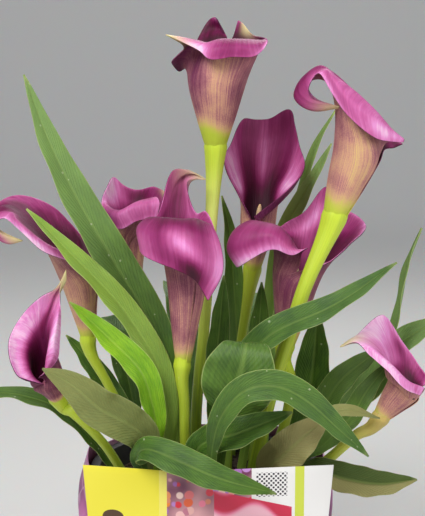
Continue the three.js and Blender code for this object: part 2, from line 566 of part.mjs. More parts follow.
function pot() {
  const lipFoot = POT_HEIGHT - LIP_DEPTH;
  const lipFootRadius = LIP_RADIUS - LIP_DRAFT;
  const profile = [
    [0, 0],
    [POT_BASE_RADIUS, 0],
    [potWallRadius(lipFoot), lipFoot],
    [lipFootRadius, lipFoot],
    [LIP_RADIUS, POT_HEIGHT],
    [POT_TOP_RADIUS - POT_WALL, POT_HEIGHT],
    [potWallRadius(POT_WALL) - POT_WALL, POT_WALL],
    [0, POT_WALL],
  ].map(([r, z]) => new THREE.Vector2(r, z));
  const shell = new THREE.LatheGeometry(profile, ROUND_SEGMENTS);
  shell.rotateX(Math.PI / 2);
  let solid = solidOf(shell);
  for (let i = 0; i < DRAIN_HOLES; i++) {
    const turn = (2 * Math.PI * (i + 0.5)) / DRAIN_HOLES;
    const [x, y] = [DRAIN_CIRCLE * Math.cos(turn), DRAIN_CIRCLE * Math.sin(turn)];
    solid = solid.subtract(post(x, y, DRAIN_RADIUS, -1, POT_WALL + 1));
  }
  return mesh('pot', geometryOf(solid), COLOURS.pot, 0.45);
}

// Every foot that stands in the soil, with the radius that it needs
function feet() {
  const leaves = Object.values(LEAVES).map(({ foot }) => ({ foot, radius: PETIOLE_HALF + GAP }));
  const stalks = BLOOMS.map(({ foot, radius }) => ({ foot, radius: radius[0] }));
  return [...leaves, ...stalks];
}

function soil() {
  const bottom = POT_WALL + GAP;
  const inside = (z) => potWallRadius(z) - POT_WALL - GAP;
  const depth = SOIL_TOP - bottom;
  const fill = new THREE.CylinderGeometry(inside(SOIL_TOP), inside(bottom), depth, ROUND_SEGMENTS);
  fill.rotateX(Math.PI / 2);
  fill.translate(0, 0, (SOIL_TOP + bottom) / 2);
  let solid = solidOf(fill);
  for (const { foot, radius } of feet()) {
    const bore = (radius + BORE_CLEARANCE) / Math.cos(Math.PI / HOLE_SIDES);
    solid = solid.subtract(post(...foot, bore, SOIL_TOP - FOOT_DEPTH - GAP, SOIL_TOP + 5));
  }
  return mesh('soil', geometryOf(solid), COLOURS.soil, 0.95);
}

// How far a direction lies on one of the cover's corners, from 0 to 1
function cornerShare(turn) {
  return Math.cos((COVER_CORNERS * (turn - Math.PI)) / 2) ** 2;
}

function coverRadius(turn, z) {
  const share = (z - COVER_BULGE_START) / (COVER_HIGH - COVER_BULGE_START);
  const loose = Math.sin(Math.PI * THREE.MathUtils.clamp(share, 0, 1));
  const straight = LIP_RADIUS + GAP - Math.max(0, POT_HEIGHT - LIP_DEPTH - z) * COVER_TAPER;
  return straight / Math.cos(Math.PI / ROUND_SEGMENTS) + COVER_BULGE * cornerShare(turn) * loose;
}

function potCover() {
  const inner = COVER_LEVELS.map((h) => new THREE.Vector2(1, h));
  const outer = COVER_LEVELS.map((h) => new THREE.Vector2(2, h));
  const ring = new THREE.LatheGeometry([...outer, ...inner.reverse(), outer[0]], ROUND_SEGMENTS);
  ring.rotateX(Math.PI / 2);
  reshape(ring, (p) => {
    const turn = Math.atan2(p.y, p.x);
    const edge = lerp(COVER_LOW, COVER_HIGH, cornerShare(turn) ** 2);
    const z = lerp(COVER_FOOT, edge, p.z);
    const wall = Math.hypot(p.x, p.y) > 1.5 ? COVER_WALL : 0;
    const radius = coverRadius(turn, z) + wall;
    return new THREE.Vector3(radius * Math.cos(turn), radius * Math.sin(turn), z);
  });
  return mesh('pot_cover', welded(ring), COLOURS.cover, 0.5);
}

// The card stands upright against the cover's bulges and gets narrower downwards
function labelCard() {
  const height = CARD_TOP - CARD_BOTTOM;
  const slab = new THREE.BoxGeometry(2, CARD_THICKNESS, height, 2, 1, 1);
  reshape(slab, (p) => {
    const z = p.z + height / 2 + CARD_BOTTOM;
    const taper = 1 - (CARD_TAPER * (CARD_TOP - z)) / height;
    const x = [CARD_LEFT, CARD_CREASE, CARD_RIGHT][Math.round(p.x) + 1] * taper;
    const turn = x < CARD_CREASE ? CARD_LEFT_TURN : CARD_RIGHT_TURN;
    const y = Math.abs(x - CARD_CREASE * taper) * Math.tan(turn) - CARD_DEPTH;
    return new THREE.Vector3(x, y + p.y, z);
  });
  return mesh('label_card', welded(slab), COLOURS.card, 0.35);
}

// A smooth route that starts upright in the soil
function routeFrom(foot, points) {
  const start = START_DEPTHS.map((depth) => new THREE.Vector3(...foot, SOIL_TOP - depth));
  return new THREE.CatmullRomCurve3([...start, ...points.map(vector)], false, 'catmullrom', 0.5);
}

// Half width of a lance-shaped blade at a share of its length, widest about the middle
function lance(q) {
  const peak = LANCE_FOOT / (LANCE_FOOT + LANCE_TIP);
  const shape = (x) => x ** LANCE_FOOT * (1 - x) ** LANCE_TIP;
  return shape(Math.min(Math.max(q, 0), 1)) / shape(peak);
}

function leaf(name, { foot, route, width, petiole, face, fold, colour = 'darkLeaf' }) {
  const midrib = routeFrom(foot, route);
  const blade = (v) => Math.max(0, (v - petiole) / (1 - petiole));
  const halfWidth = (v) => {
    const stem = lerp(PETIOLE_HALF, TIP_HALF, smooth(blade(v) * 2));
    return Math.hypot(stem, (width - TIP_HALF) * lance(blade(v)));
  };
  const surface = (u, v) => {
    const along = midrib.getTangentAt(v);
    const facing = vector(face[0]).lerp(vector(face[1]), v);
    const across = along.clone().cross(facing).normalize();
    const upward = across.clone().cross(along);
    const half = halfWidth(v);
    const rise = radians(lerp(...fold, v)) * smooth(blade(v) * 5);
    return midrib.getPointAt(v)
      .addScaledVector(across, half * u * Math.cos(rise))
      .addScaledVector(upward, half * Math.abs(u) * Math.sin(rise));
  };
  const thickness = (u, v) => {
    const thin = smooth(blade(v) * 4);
    const rib = lerp(PETIOLE_THICKNESS, RIB_THICKNESS, thin);
    const edge = lerp(PETIOLE_THICKNESS / 2, EDGE_THICKNESS, thin);
    return lerp(rib, edge, Math.abs(u));
  };
  return mesh(name, sheet(LEAF_COLUMNS, LEAF_ROWS, surface, thickness), COLOURS[colour], 0.4);
}

// A round stalk: an upright cylinder bent along its route
function flowerStalk(name, { foot, stem, base, axis, radius }) {
  const end = vector(base);
  const up = vector(axis).normalize();
  const approach = end.clone().addScaledVector(up, -STALK_STRAIGHT);
  const points = [...stem, approach.toArray(), end.addScaledVector(up, -GAP).toArray()];
  const route = routeFrom(foot, points);
  const rod = new THREE.CylinderGeometry(1, 1, 1, STALK_SIDES, STALK_STEPS);
  const depthAxis = new THREE.Vector3(0, 1, 0);
  reshape(rod, (p) => {
    const v = (p.y + 0.5) ** STALK_CROWDING;
    const along = route.getTangentAt(v);
    const across = along.clone().cross(depthAxis).normalize();
    const outward = across.clone().cross(along);
    const r = lerp(...radius, Math.max(0, (v - STALK_SWELL) / (1 - STALK_SWELL)) ** STALK_FLARE);
    return route.getPointAt(v).addScaledVector(across, p.x * r).addScaledVector(outward, p.z * r);
  });
  return mesh(name, welded(rod), COLOURS.stalk, 0.45);
}

// A bloom's own directions: to its side, to its back and up along its tube
function bloomAxes({ axis, back }) {
  const up = vector(axis).normalize();
  const side = vector(back).cross(up).normalize();
  return { side, back: up.clone().cross(side), up };
}

// A spathe, measured from its base. Lines run from the base to the margin: up the round tube, whose edges
// overlap in front, and then along the points of the lip.
function spatheSurface(bloom) {
  const { side, back, up } = bloomAxes(bloom);
  const rings = [[0, bloom.radius[1] - WRAP_INSET], ...bloom.tube];
  const lines = bloom.lips.map(({ at: u, line }) => {
    const wrap = u < 0 ? bloom.wrap.slice(0, 2) : bloom.wrap.slice(2);
    const walls = rings.map(([height, radius], k) => {
      const turn = u * Math.PI * lerp(...wrap, k / rings.length);
      const r = radius + MARGIN_STEP * u;
      return up.clone().multiplyScalar(height).addScaledVector(side, r * Math.sin(turn))
        .addScaledVector(back, r * Math.cos(turn));
    });
    return new THREE.CatmullRomCurve3([...walls, ...line.map(vector)]);
  });
  return (column, v) => {
    const across = lines.map((line) => {
      const lipSteps = line.points.length - 1 - rings.length;
      const place = v < FOLD_SHARE ? (v / FOLD_SHARE) * rings.length
        : rings.length + ((v - FOLD_SHARE) / (1 - FOLD_SHARE)) * lipSteps;
      return line.getPoint(place / (line.points.length - 1));
    });
    return new THREE.CatmullRomCurve3(across).getPoint((column + 1) / 2);
  };
}

function spathe(name, bloom) {
  const gaps = bloom.lips.length - 1;
  const columns = gaps * Math.floor(SPATHE_COLUMNS / gaps);
  const solid = sheet(columns, SPATHE_ROWS, spatheSurface(bloom), () => SPATHE_THICKNESS);
  return mesh(name, solid, COLOURS.spathe, 0.5);
}

// The spadix is a blunt finger covered in small round florets
function spadix(name, { tube, reach = SPADIX_REACH }) {
  const length = Math.min(SPADIX_LENGTH, reach * tube[1][0]);
  const shoulder = length - SPADIX_CROWN;
  const profile = [new THREE.Vector2(0, 0)];
  for (let i = 0; i <= SPADIX_ROWS; i++) {
    const share = i / SPADIX_ROWS;
    const radius = SPADIX_RADIUS * Math.sqrt(1 - SPADIX_TAPER * share ** 4);
    profile.push(new THREE.Vector2(radius, share * shoulder));
  }
  profile.push(new THREE.Vector2(0, length));
  const finger = new THREE.LatheGeometry(profile, SPADIX_SIDES);
  finger.rotateX(Math.PI / 2);
  reshape(finger, (p) => {
    const side = Math.round((Math.atan2(p.y, p.x) * SPADIX_SIDES) / (2 * Math.PI));
    const row = Math.round((p.z / shoulder) * SPADIX_ROWS);
    const bump = Math.abs(side + row) % 2 === 1 && row > 0 ? FLORET_BUMP : 1;
    return new THREE.Vector3(p.x * bump, p.y * bump, p.z);
  });
  return mesh(name, welded(finger), COLOURS.spadix, 0.7);
}

// The spathe and the spadix stand on the end of the stalk
function bloomHead(number, bloom) {
  const { side, back, up } = bloomAxes(bloom);
  const finger = spadix(`spadix_${number}`, bloom);
  finger.quaternion.setFromRotationMatrix(new THREE.Matrix4().makeBasis(side, back, up));
  const head = new THREE.Group();
  head.position.set(...bloom.base);
  head.add(spathe(`spathe_${number}`, bloom), finger);
  return head;
}

const plant = new THREE.Group();
plant.add(pot(), soil(), potCover(), labelCard());
for (const [name, shape] of Object.entries(LEAVES)) plant.add(leaf(name, shape));
BLOOMS.forEach((bloom, i) => {
  plant.add(flowerStalk(`flower_stalk_${i + 1}`, bloom), bloomHead(i + 1, bloom));
});

export default plant;
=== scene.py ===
"""Dressed model of a potted calla lily: blooms, lance-shaped leaves, soil, pot, paper cover and card.

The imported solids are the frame, and each piece here takes the place of one of them with a finer mesh of the
same form and a material of its own. Sizes are named in millimetres and built in metres, with +Z up, the front
towards -Y and the origin at the centre of the pot's flat underside.
"""
import logging
import math
import random
from dataclasses import dataclass, field
from enum import Enum
from functools import cache
from typing import Callable, Sequence

import bmesh
import bpy
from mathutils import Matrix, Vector, noise


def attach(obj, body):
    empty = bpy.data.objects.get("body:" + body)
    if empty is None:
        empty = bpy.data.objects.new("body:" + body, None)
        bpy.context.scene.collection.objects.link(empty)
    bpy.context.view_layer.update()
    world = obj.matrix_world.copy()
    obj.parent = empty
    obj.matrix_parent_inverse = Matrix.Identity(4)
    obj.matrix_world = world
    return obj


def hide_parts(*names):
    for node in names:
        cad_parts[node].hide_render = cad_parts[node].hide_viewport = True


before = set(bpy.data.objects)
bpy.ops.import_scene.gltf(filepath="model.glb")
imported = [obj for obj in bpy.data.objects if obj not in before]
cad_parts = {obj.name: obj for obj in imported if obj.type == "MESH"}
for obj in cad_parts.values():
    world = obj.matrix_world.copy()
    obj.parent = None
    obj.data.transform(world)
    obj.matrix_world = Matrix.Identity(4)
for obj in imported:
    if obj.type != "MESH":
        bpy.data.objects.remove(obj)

LOG = logging.getLogger("calla_lily")
MM = 0.001

Numbers = Sequence[float]
Colour = tuple[int, int, int]
Place = Callable[[float, float], Vector]
Paint = Callable[[float, float], float]
Socket = bpy.types.NodeSocket
Look = tuple[object, object, object]

# Sizes that the pieces share, in millimetres
GAP = 0.3
SOIL_TOP = 110
STEM_DEPTHS = (14, 3, -7)
POT_HEIGHT = 125
POT_BASE_RADIUS = 58
POT_TOP_RADIUS = 77
POT_WALL = 1.8
LIP_DEPTH = 12
LIP_RADIUS = 82
LIP_DRAFT = 2


def lerp(first: float, last: float, share: float) -> float:
    """The value at a share of the way from first to last."""
    return first + (last - first) * share


def clamp(value: float) -> float:
    """The value held between 0 and 1."""
    return min(max(value, 0.0), 1.0)


def smooth(value: float) -> float:
    """A smooth step from 0 to 1."""
    held = clamp(value)
    return held * held * (3 - 2 * held)


def bump(distance: float, reach: float) -> float:
    """A smooth hump that is 1 at no distance and fades out past its reach."""
    return math.exp(-((distance / reach) ** 2))


class Route:
    """A smooth route through points, which is read by its knots or by its length."""

    STEPS = 200

    def __init__(self, points: Sequence[Numbers], centripetal: bool = True) -> None:
        """Keeps the points.

        Args:
            points: where the route passes, in order.
            centripetal: whether tight corners are rounded without loops.
        """
        self.points = [Vector(point) for point in points]
        self.centripetal = centripetal
        self.lengths: list[float] = []

    def point(self, share: float) -> Vector:
        """The place at a share of the knots.

        Args:
            share: from 0 at the first point to 1 at the last.

        Returns:
            The place on the route.
        """
        points = self.points
        last = len(points) - 1
        place = clamp(share) * last
        index = min(int(place), last - 1)
        weight = place - index
        here, there = points[index], points[index + 1]
        before = points[index - 1] if index > 0 else here * 2 - there
        after = points[index + 2] if index + 2 <= last else there * 2 - here
        if self.centripetal:
            steps = ((before, here), (here, there), (there, after))
            first, gap, last = (max((b - a).length, 1e-8) ** 0.5 for a, b in steps)
            leaving = (here - before) / first - (there - before) / (first + gap) + (there - here) / gap
            coming = (there - here) / gap - (after - here) / (gap + last) + (after - there) / last
            leaving, coming = leaving * gap, coming * gap
        else:
            leaving, coming = (there - before) / 2, (after - here) / 2
        cubic = here * 2 - there * 2 + leaving + coming
        square = there * 3 - here * 3 - leaving * 2 - coming
        return ((cubic * weight + square) * weight + leaving) * weight + here

    def share_at(self, length_share: float) -> float:
        """The share of the knots where a share of the length is reached.

        Args:
            length_share: from 0 at the first point to 1 at the last.

        Returns:
            The share of the knots.
        """
        if not self.lengths:
            places = [self.point(i / self.STEPS) for i in range(self.STEPS + 1)]
            self.lengths = [0.0]
            for first, last in zip(places, places[1:]):
                self.lengths.append(self.lengths[-1] + (last - first).length)
        wanted = clamp(length_share) * self.lengths[-1]
        low, high = 0, self.STEPS
        while high - low > 1:
            middle = (low + high) // 2
            low, high = (middle, high) if self.lengths[middle] <= wanted else (low, middle)
        span = self.lengths[high] - self.lengths[low]
        return (low + (wanted - self.lengths[low]) / max(span, 1e-9)) / self.STEPS

    def along(self, length_share: float) -> tuple[Vector, Vector]:
        """The place and the direction at a share of the length."""
        share = self.share_at(length_share)
        ahead = self.point(min(share + 1e-3, 1)) - self.point(max(share - 1e-3, 0))
        return self.point(share), ahead.normalized()


def soil_route(foot: Numbers, points: Sequence[Numbers]) -> Route:
    """A route that starts upright in the soil, at the depths that all the stems share.

    Args:
        foot: the place on the soil, across and deep.
        points: where the route passes above the soil.

    Returns:
        The route from its foot.
    """
    start = [(foot[0], foot[1], SOIL_TOP - depth) for depth in STEM_DEPTHS]
    return Route([*start, *points], centripetal=False)


# Meshes


def finished(name: str, form: bmesh.types.BMesh) -> bpy.types.Object:
    """Makes an object of a mesh under construction, with smooth shading."""
    mesh = bpy.data.meshes.new(name)
    form.to_mesh(mesh)
    form.free()
    mesh.shade_smooth()
    piece = bpy.data.objects.new(name, mesh)
    bpy.context.scene.collection.objects.link(piece)
    return piece


def grown(name: str, columns: int, rows: int, place: Place, paints: dict[str, Paint] | None = None,
          closed: bool = False) -> bpy.types.Object:
    """A grid with its own UV map, whose vertices go where the given function says.

    Args:
        name: the piece's name.
        columns: faces across.
        rows: faces along.
        place: the place in millimetres for shares of the grid's width and height.
        paints: values kept on the vertices for the materials, by attribute name.
        closed: whether the grid's sides meet, so that it is a tube with closed ends.

    Returns:
        The object, with its place in its mesh.
    """
    form = bmesh.new()
    form.loops.layers.uv.new("surface")
    bmesh.ops.create_grid(form, x_segments=columns, y_segments=rows, size=1, calc_uvs=True)
    layers = {key: form.verts.layers.float.new(key) for key in paints or {}}
    for vert in form.verts:
        x, y = (vert.co.x + 1) / 2, (vert.co.y + 1) / 2
        for key, layer in layers.items():
            vert[layer] = paints[key](x, y)
        vert.co = place(x, y) * MM
    if closed:
        bmesh.ops.remove_doubles(form, verts=form.verts, dist=1e-7)
        bmesh.ops.holes_fill(form, edges=form.edges, sides=0)
        bmesh.ops.recalc_face_normals(form, faces=form.faces)
    return finished(name, form)


def turned(name: str, profile: Sequence[Numbers], around: int,
           shape: Callable[[Vector], Vector] | None = None, bevel: float = 0.0) -> bpy.types.Object:
    """A round body, turned from a profile about the upright axis.

    Args:
        name: the piece's name.
        profile: points of a radius and a height, which start and end on the axis.
        around: steps round the axis.
        shape: what moves each vertex afterwards, in millimetres.
        bevel: the radius of its rounded edges.

    Returns:
        The object.
    """
    form = bmesh.new()
    line = [form.verts.new((radius, 0, height)) for radius, height in profile]
    for first, last in zip(line, line[1:]):
        form.edges.new((first, last))
    bmesh.ops.spin(form, geom=form.verts[:] + form.edges[:], axis=(0, 0, 1), cent=(0, 0, 0), steps=around,
                   angle=2 * math.pi, use_merge=True)
    bmesh.ops.remove_doubles(form, verts=form.verts, dist=1e-4)
    bmesh.ops.recalc_face_normals(form, faces=form.faces)
    if bevel:
        corners = [e for e in form.edges if e.calc_face_angle(0) > 0.5]
        bmesh.ops.bevel(form, geom=corners, offset=bevel, segments=3, affect="EDGES", profile=0.5,
                        material=-1)
    for vert in form.verts:
        vert.co = (shape(vert.co) if shape else vert.co) * MM
    return finished(name, form)


def thicken(piece: bpy.types.Object, thickness: float, back_material: int = 0, rounded: bool = True) -> None:
    """Gives a sheet its thickness about its middle, and a rounded rim.

    Args:
        piece: the open sheet.
        thickness: in millimetres.
        back_material: how many material slots after the front's the back's lies.
        rounded: whether the sheet is subdivided once.
    """
    wall = piece.modifiers.new("wall", "SOLIDIFY")
    wall.thickness = thickness * MM
    wall.offset = 0
    wall.material_offset = wall.material_offset_rim = back_material
    if rounded:
        smoother = piece.modifiers.new("smoother", "SUBSURF")
        smoother.levels = smoother.render_levels = 1


def place_piece(piece: bpy.types.Object, slot: str, materials: Sequence[bpy.types.Material],
                *nodes: str) -> None:
    """Dresses a piece, puts it on the plant and lets it stand for its solids.

    Args:
        piece: the finished object.
        slot: the name of the slot for its finish; it is not used.
        materials: its materials, in the order of its slots.
        nodes: the solids that it takes the place of.
    """
    for material in materials:
        piece.data.materials.append(material)
    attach(piece, "root")
    if nodes:
        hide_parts(*nodes)
    LOG.info("%s: %d faces", piece.name, len(piece.data.polygons))


# Shaders


def srgb(red: int, green: int, blue: int) -> tuple[float, float, float, float]:
    """A colour given as it looks on a screen, from 0 to 255, as the shader's linear values."""

    def linear(value: float) -> float:
        """One channel in linear light."""
        share = value / 255
        return share / 12.92 if share <= 0.04045 else ((share + 0.055) / 1.055) ** 2.4

    return (linear(red), linear(green), linear(blue), 1.0)


class Board:
    """Short calls that lay out the nodes of one material or node group."""

    def __init__(self, tree: bpy.types.NodeTree) -> None:
        """Keeps the node tree and empties it."""
        self.tree = tree
        tree.nodes.clear()

    def put(self, target: Socket, value: object) -> None:
        """Links a socket to a socket, or sets its constant."""
        if isinstance(value, bpy.types.NodeSocket):
            self.tree.links.new(value, target)
        else:
            target.default_value = value

    def node(self, kind: str, inputs: dict[str | int, object] | None = None,
             **settings: object) -> bpy.types.Node:
        """Adds a node.

        Args:
            kind: the node's type.
            inputs: links or constants by socket name or number.
            settings: the node's own properties.

        Returns:
            The node.
        """
        made = self.tree.nodes.new(kind)
        for key, value in settings.items():
            setattr(made, key, value)
        for key, value in (inputs or {}).items():
            self.put(made.inputs[key], value)
        return made

    def math(self, operation: str, *values: object) -> Socket:
        """A Math node's value."""
        return self.node("ShaderNodeMath", dict(enumerate(values)), operation=operation).outputs[0]

    def times(self, first: object, second: object) -> Socket:
        """Two values multiplied."""
        return self.math("MULTIPLY", first, second)

    def total(self, *terms: tuple[object, object], start: object = 0.0) -> Socket:
        """A start plus values, each times its weight."""
        for value, weight in terms:
            start = self.math("MULTIPLY_ADD", value, weight, start)
        return start

    def above(self, value: object, limit: object) -> Socket:
        """1 where a value is greater than a limit."""
        return self.math("GREATER_THAN", value, limit)

    def below(self, value: object, limit: object) -> Socket:
        """1 where a value is less than a limit."""
        return self.math("LESS_THAN", value, limit)

    def within(self, value: object, low: float, high: float) -> Socket:
        """1 between two limits."""
        return self.times(self.above(value, low), self.below(value, high))

    def span(self, value: object, low: float, high: float, to_low: float = 0.0,
             to_high: float = 1.0) -> Socket:
        """A value mapped smoothly from one range to another."""
        inputs = {"Value": value, "From Min": low, "From Max": high, "To Min": to_low, "To Max": to_high}
        return self.node("ShaderNodeMapRange", inputs, interpolation_type="SMOOTHSTEP").outputs[0]

    def coats(self, ground: Socket, *coats: tuple[object, Socket | Colour]) -> Socket:
        """Lays coats over a ground colour.

        Args:
            ground: the colour underneath.
            coats: for each coat in order, its share and its colour, which may be a screen colour.

        Returns:
            The colour on top.
        """
        for share, colour in coats:
            made = self.node("ShaderNodeMix", data_type="RGBA")
            on_top = srgb(*colour) if isinstance(colour, tuple) else colour
            for number, value in ((0, share), (6, ground), (7, on_top)):
                self.put(made.inputs[number], value)
            ground = made.outputs[2]
        return ground

    def ramp(self, value: object, stops: Sequence[tuple[float, Colour]]) -> Socket:
        """A colour ramp through stops of a place and a screen colour."""
        made = self.node("ShaderNodeValToRGB", {0: value})
        elements = made.color_ramp.elements
        while len(elements) < len(stops):
            elements.new(0.5)
        for element, (where, colour) in zip(elements, stops):
            element.position = where
            element.color = srgb(*colour)
        return made.outputs[0]

    def noise(self, vector: object, scale: float, detail: float = 3.0, roughness: float = 0.5) -> Socket:
        """A noise texture's value."""
        inputs = {"Vector": vector, "Scale": scale, "Detail": detail, "Roughness": roughness}
        return self.node("ShaderNodeTexNoise", inputs).outputs[0]

    def cells(self, vector: object, scale: float, inputs: dict[str, float] | None = None,
              feature: str = "F1") -> bpy.types.Node:
        """A cell texture."""
        given = {"Vector": vector, "Scale": scale, **(inputs or {})}
        return self.node("ShaderNodeTexVoronoi", given, feature=feature)

    def stretch(self, vector: object, x: float, y: float, z: float = 1.0) -> Socket:
        """A vector scaled along its axes."""
        return self.node("ShaderNodeMapping", {"Vector": vector, "Scale": (x, y, z)}).outputs[0]

    def scaled(self, vector: object, scale: object) -> Socket:
        """A vector times a value."""
        return self.node("ShaderNodeVectorMath", {0: vector, 3: scale}, operation="SCALE").outputs[0]

    def joined(self, x: object, y: object) -> Socket:
        """A vector of two parts."""
        return self.node("ShaderNodeCombineXYZ", {0: x, 1: y}).outputs[0]

    def parts(self, vector: object) -> tuple[Socket, Socket, Socket]:
        """A vector's three parts."""
        return tuple(self.node("ShaderNodeSeparateXYZ", {0: vector}).outputs)

    def attribute(self, name: str) -> Socket:
        """A value kept on the mesh."""
        return self.node("ShaderNodeAttribute", attribute_name=name).outputs["Fac"]

    def surface(self) -> Socket:
        """The piece's own UV map."""
        return self.node("ShaderNodeUVMap", uv_map="surface").outputs[0]

    def place(self) -> Socket:
        """Places on the whole plant, in metres."""
        return self.node("ShaderNodeTexCoord").outputs["Object"]


@dataclass(frozen=True)
class Finish:
    """A material: what doesn't vary over its surface, and the nodes for what does."""

    name: str
    roughness: float = 0.5
    sheen: float = 0.0
    coat: float = 0.0
    glow: float = 0.0
    specular: float = 0.5
    depth: float = 0.3

    def lay(self, board: Board) -> Look:
        """Lays the nodes that vary over the surface.

        Args:
            board: where the nodes go.

        Returns:
            The colour, the roughness and the relief, which may be None.
        """
        raise NotImplementedError

    def material(self) -> bpy.types.Material:
        """Makes the material.

        Returns:
            The material, with its relief as deep as the finish says, in millimetres.
        """
        material = bpy.data.materials.new(self.name)
        material.use_nodes = True
        board = Board(material.node_tree)
        colour, roughness, relief = self.lay(board)
        inputs = {"Base Color": colour, "Roughness": roughness, "Sheen Weight": self.sheen,
                  "Coat Weight": self.coat, "Coat Roughness": 0.3, "Specular IOR Level": self.specular,
                  "Subsurface Weight": self.glow, "Subsurface Scale": 2 * MM}
        shader = board.node("ShaderNodeBsdfPrincipled", inputs)
        if relief is not None:
            inputs = {"Height": relief, "Distance": self.depth * MM, "Strength": 0.6}
            raised = board.node("ShaderNodeBump", inputs)
            board.put(shader.inputs["Normal"], raised.outputs[0])
        board.node("ShaderNodeOutputMaterial", {"Surface": shader.outputs[0]})
        return material


class Groups:
    """Node groups that more than one material uses, each built once."""

    made: dict[str, bpy.types.NodeTree] = {}

    @classmethod
    def use(cls, board: Board, name: str, **inputs: object) -> dict[str, Socket]:
        """Places a group in a material with its own values.

        Args:
            board: the material's board.
            name: which group.
            inputs: links or constants by input name.

        Returns:
            The group's outputs by name.
        """
        if name not in cls.made:
            cls.made[name] = getattr(cls, name)()
        node = board.node("ShaderNodeGroup", node_tree=cls.made[name])
        for key, value in inputs.items():
            board.put(node.inputs[key], value)
        return {output.name: output for output in node.outputs}

    @staticmethod
    def start(name: str, inputs: dict[str, str], outputs: Sequence[str]) -> tuple[Board, dict[str, Socket]]:
        """Makes an empty group.

        Args:
            name: the group's name.
            inputs: each input's name and kind of socket, Float or Vector.
            outputs: the names of its value outputs.

        Returns:
            The group's board, and its inputs by name.
        """
        tree = bpy.data.node_groups.new(name, "ShaderNodeTree")
        for key, kind in inputs.items():
            tree.interface.new_socket(key, in_out="INPUT", socket_type=f"NodeSocket{kind}")
        for key in outputs:
            tree.interface.new_socket(key, in_out="OUTPUT", socket_type="NodeSocketFloat")
        board = Board(tree)
        entry = board.node("NodeGroupInput")
        return board, {socket.name: socket for socket in entry.outputs if socket.name}

    @staticmethod
    def end(board: Board, **outputs: Socket) -> bpy.types.NodeTree:
        """Links a group's outputs and gives the group back."""
        board.node("NodeGroupOutput", dict(outputs))
        return board.tree

    @staticmethod
    def streaks() -> bpy.types.NodeTree:
        """Fine lines that run along a surface and wander a little: broad soft ones and thin sharp ones."""
        kinds = {"Surface": "Vector", "Lines": "Float", "Wander": "Float"}
        board, given = Groups.start("streaks", kinds, ["Broad", "Fine", "Height"])
        x, y, _ = board.parts(given["Surface"])
        drift = board.noise(board.stretch(given["Surface"], 3, 2.2), 2.0, 2.0)
        bend = board.times(board.math("SUBTRACT", drift, 0.5), given["Wander"])
        across = board.times(board.math("ADD", x, bend), given["Lines"])
        coarse = board.joined(board.times(across, 0.35), y)
        thin = board.joined(across, board.times(y, 2.5))
        broad = board.span(board.noise(coarse, 1.0, 2.0), 0.3, 0.7)
        fine = board.span(board.noise(thin, 1.0, 3.0, 0.6), 0.3, 0.72)
        return Groups.end(board, Broad=broad, Fine=fine, Height=board.total((fine, 0.7), (broad, 0.3)))

    @staticmethod
    def blade_veins() -> bpy.types.NodeTree:
        """Side veins that leave a leaf's midrib at a slant and curve towards the tip."""
        kinds = {"Across": "Float", "Along": "Float", "Veins": "Float", "Slant": "Float"}
        board, given = Groups.start("blade_veins", kinds, ["Lines", "Rib", "Height"])
        side = board.math("ABSOLUTE", given["Across"])
        reach = board.times(board.math("POWER", side, 0.7), given["Slant"])
        phase = board.times(board.math("SUBTRACT", given["Along"], reach), given["Veins"])
        waver = board.noise(board.joined(phase, board.times(side, 1.5)), 1.6, 2.0)
        wave = board.math("SINE", board.total((phase, 6.283), (waver, 4.0)))
        rib = board.span(side, 0.02, 0.13, 1.0, 0.0)
        height = board.math("SUBTRACT", board.times(wave, 0.25), rib)
        return Groups.end(board, Lines=board.span(wave, 0.2, 1.0), Rib=rib, Height=height)

    @staticmethod
    def mottle() -> bpy.types.NodeTree:
        """Soft patches, fine grain and scattered dots over any surface."""
        kinds = {"Place": "Vector", "Scale": "Float", "Share": "Float"}
        board, given = Groups.start("mottle", kinds, ["Patches", "Grain", "Dots"])
        spread = board.scaled(given["Place"], given["Scale"])
        patches = board.span(board.noise(spread, 0.25, 3.0), 0.3, 0.7)
        grain = board.noise(spread, 6.0, 4.0, 0.6)
        cells = board.cells(spread, 1.0, {"Randomness": 1.0})
        size = board.times(board.noise(spread, 0.8, 1.0), 0.35)
        pick = board.node("ShaderNodeSeparateColor", {0: cells.outputs["Color"]}).outputs[0]
        dots = board.times(board.below(cells.outputs["Distance"], size), board.below(pick, given["Share"]))
        return Groups.end(board, Patches=patches, Grain=grain, Dots=dots)


# Leaves


class LeafTone(Enum):
    """The greens that a leaf may have."""

    DARK = "dark"
    LIME = "lime"
    OLIVE = "olive"


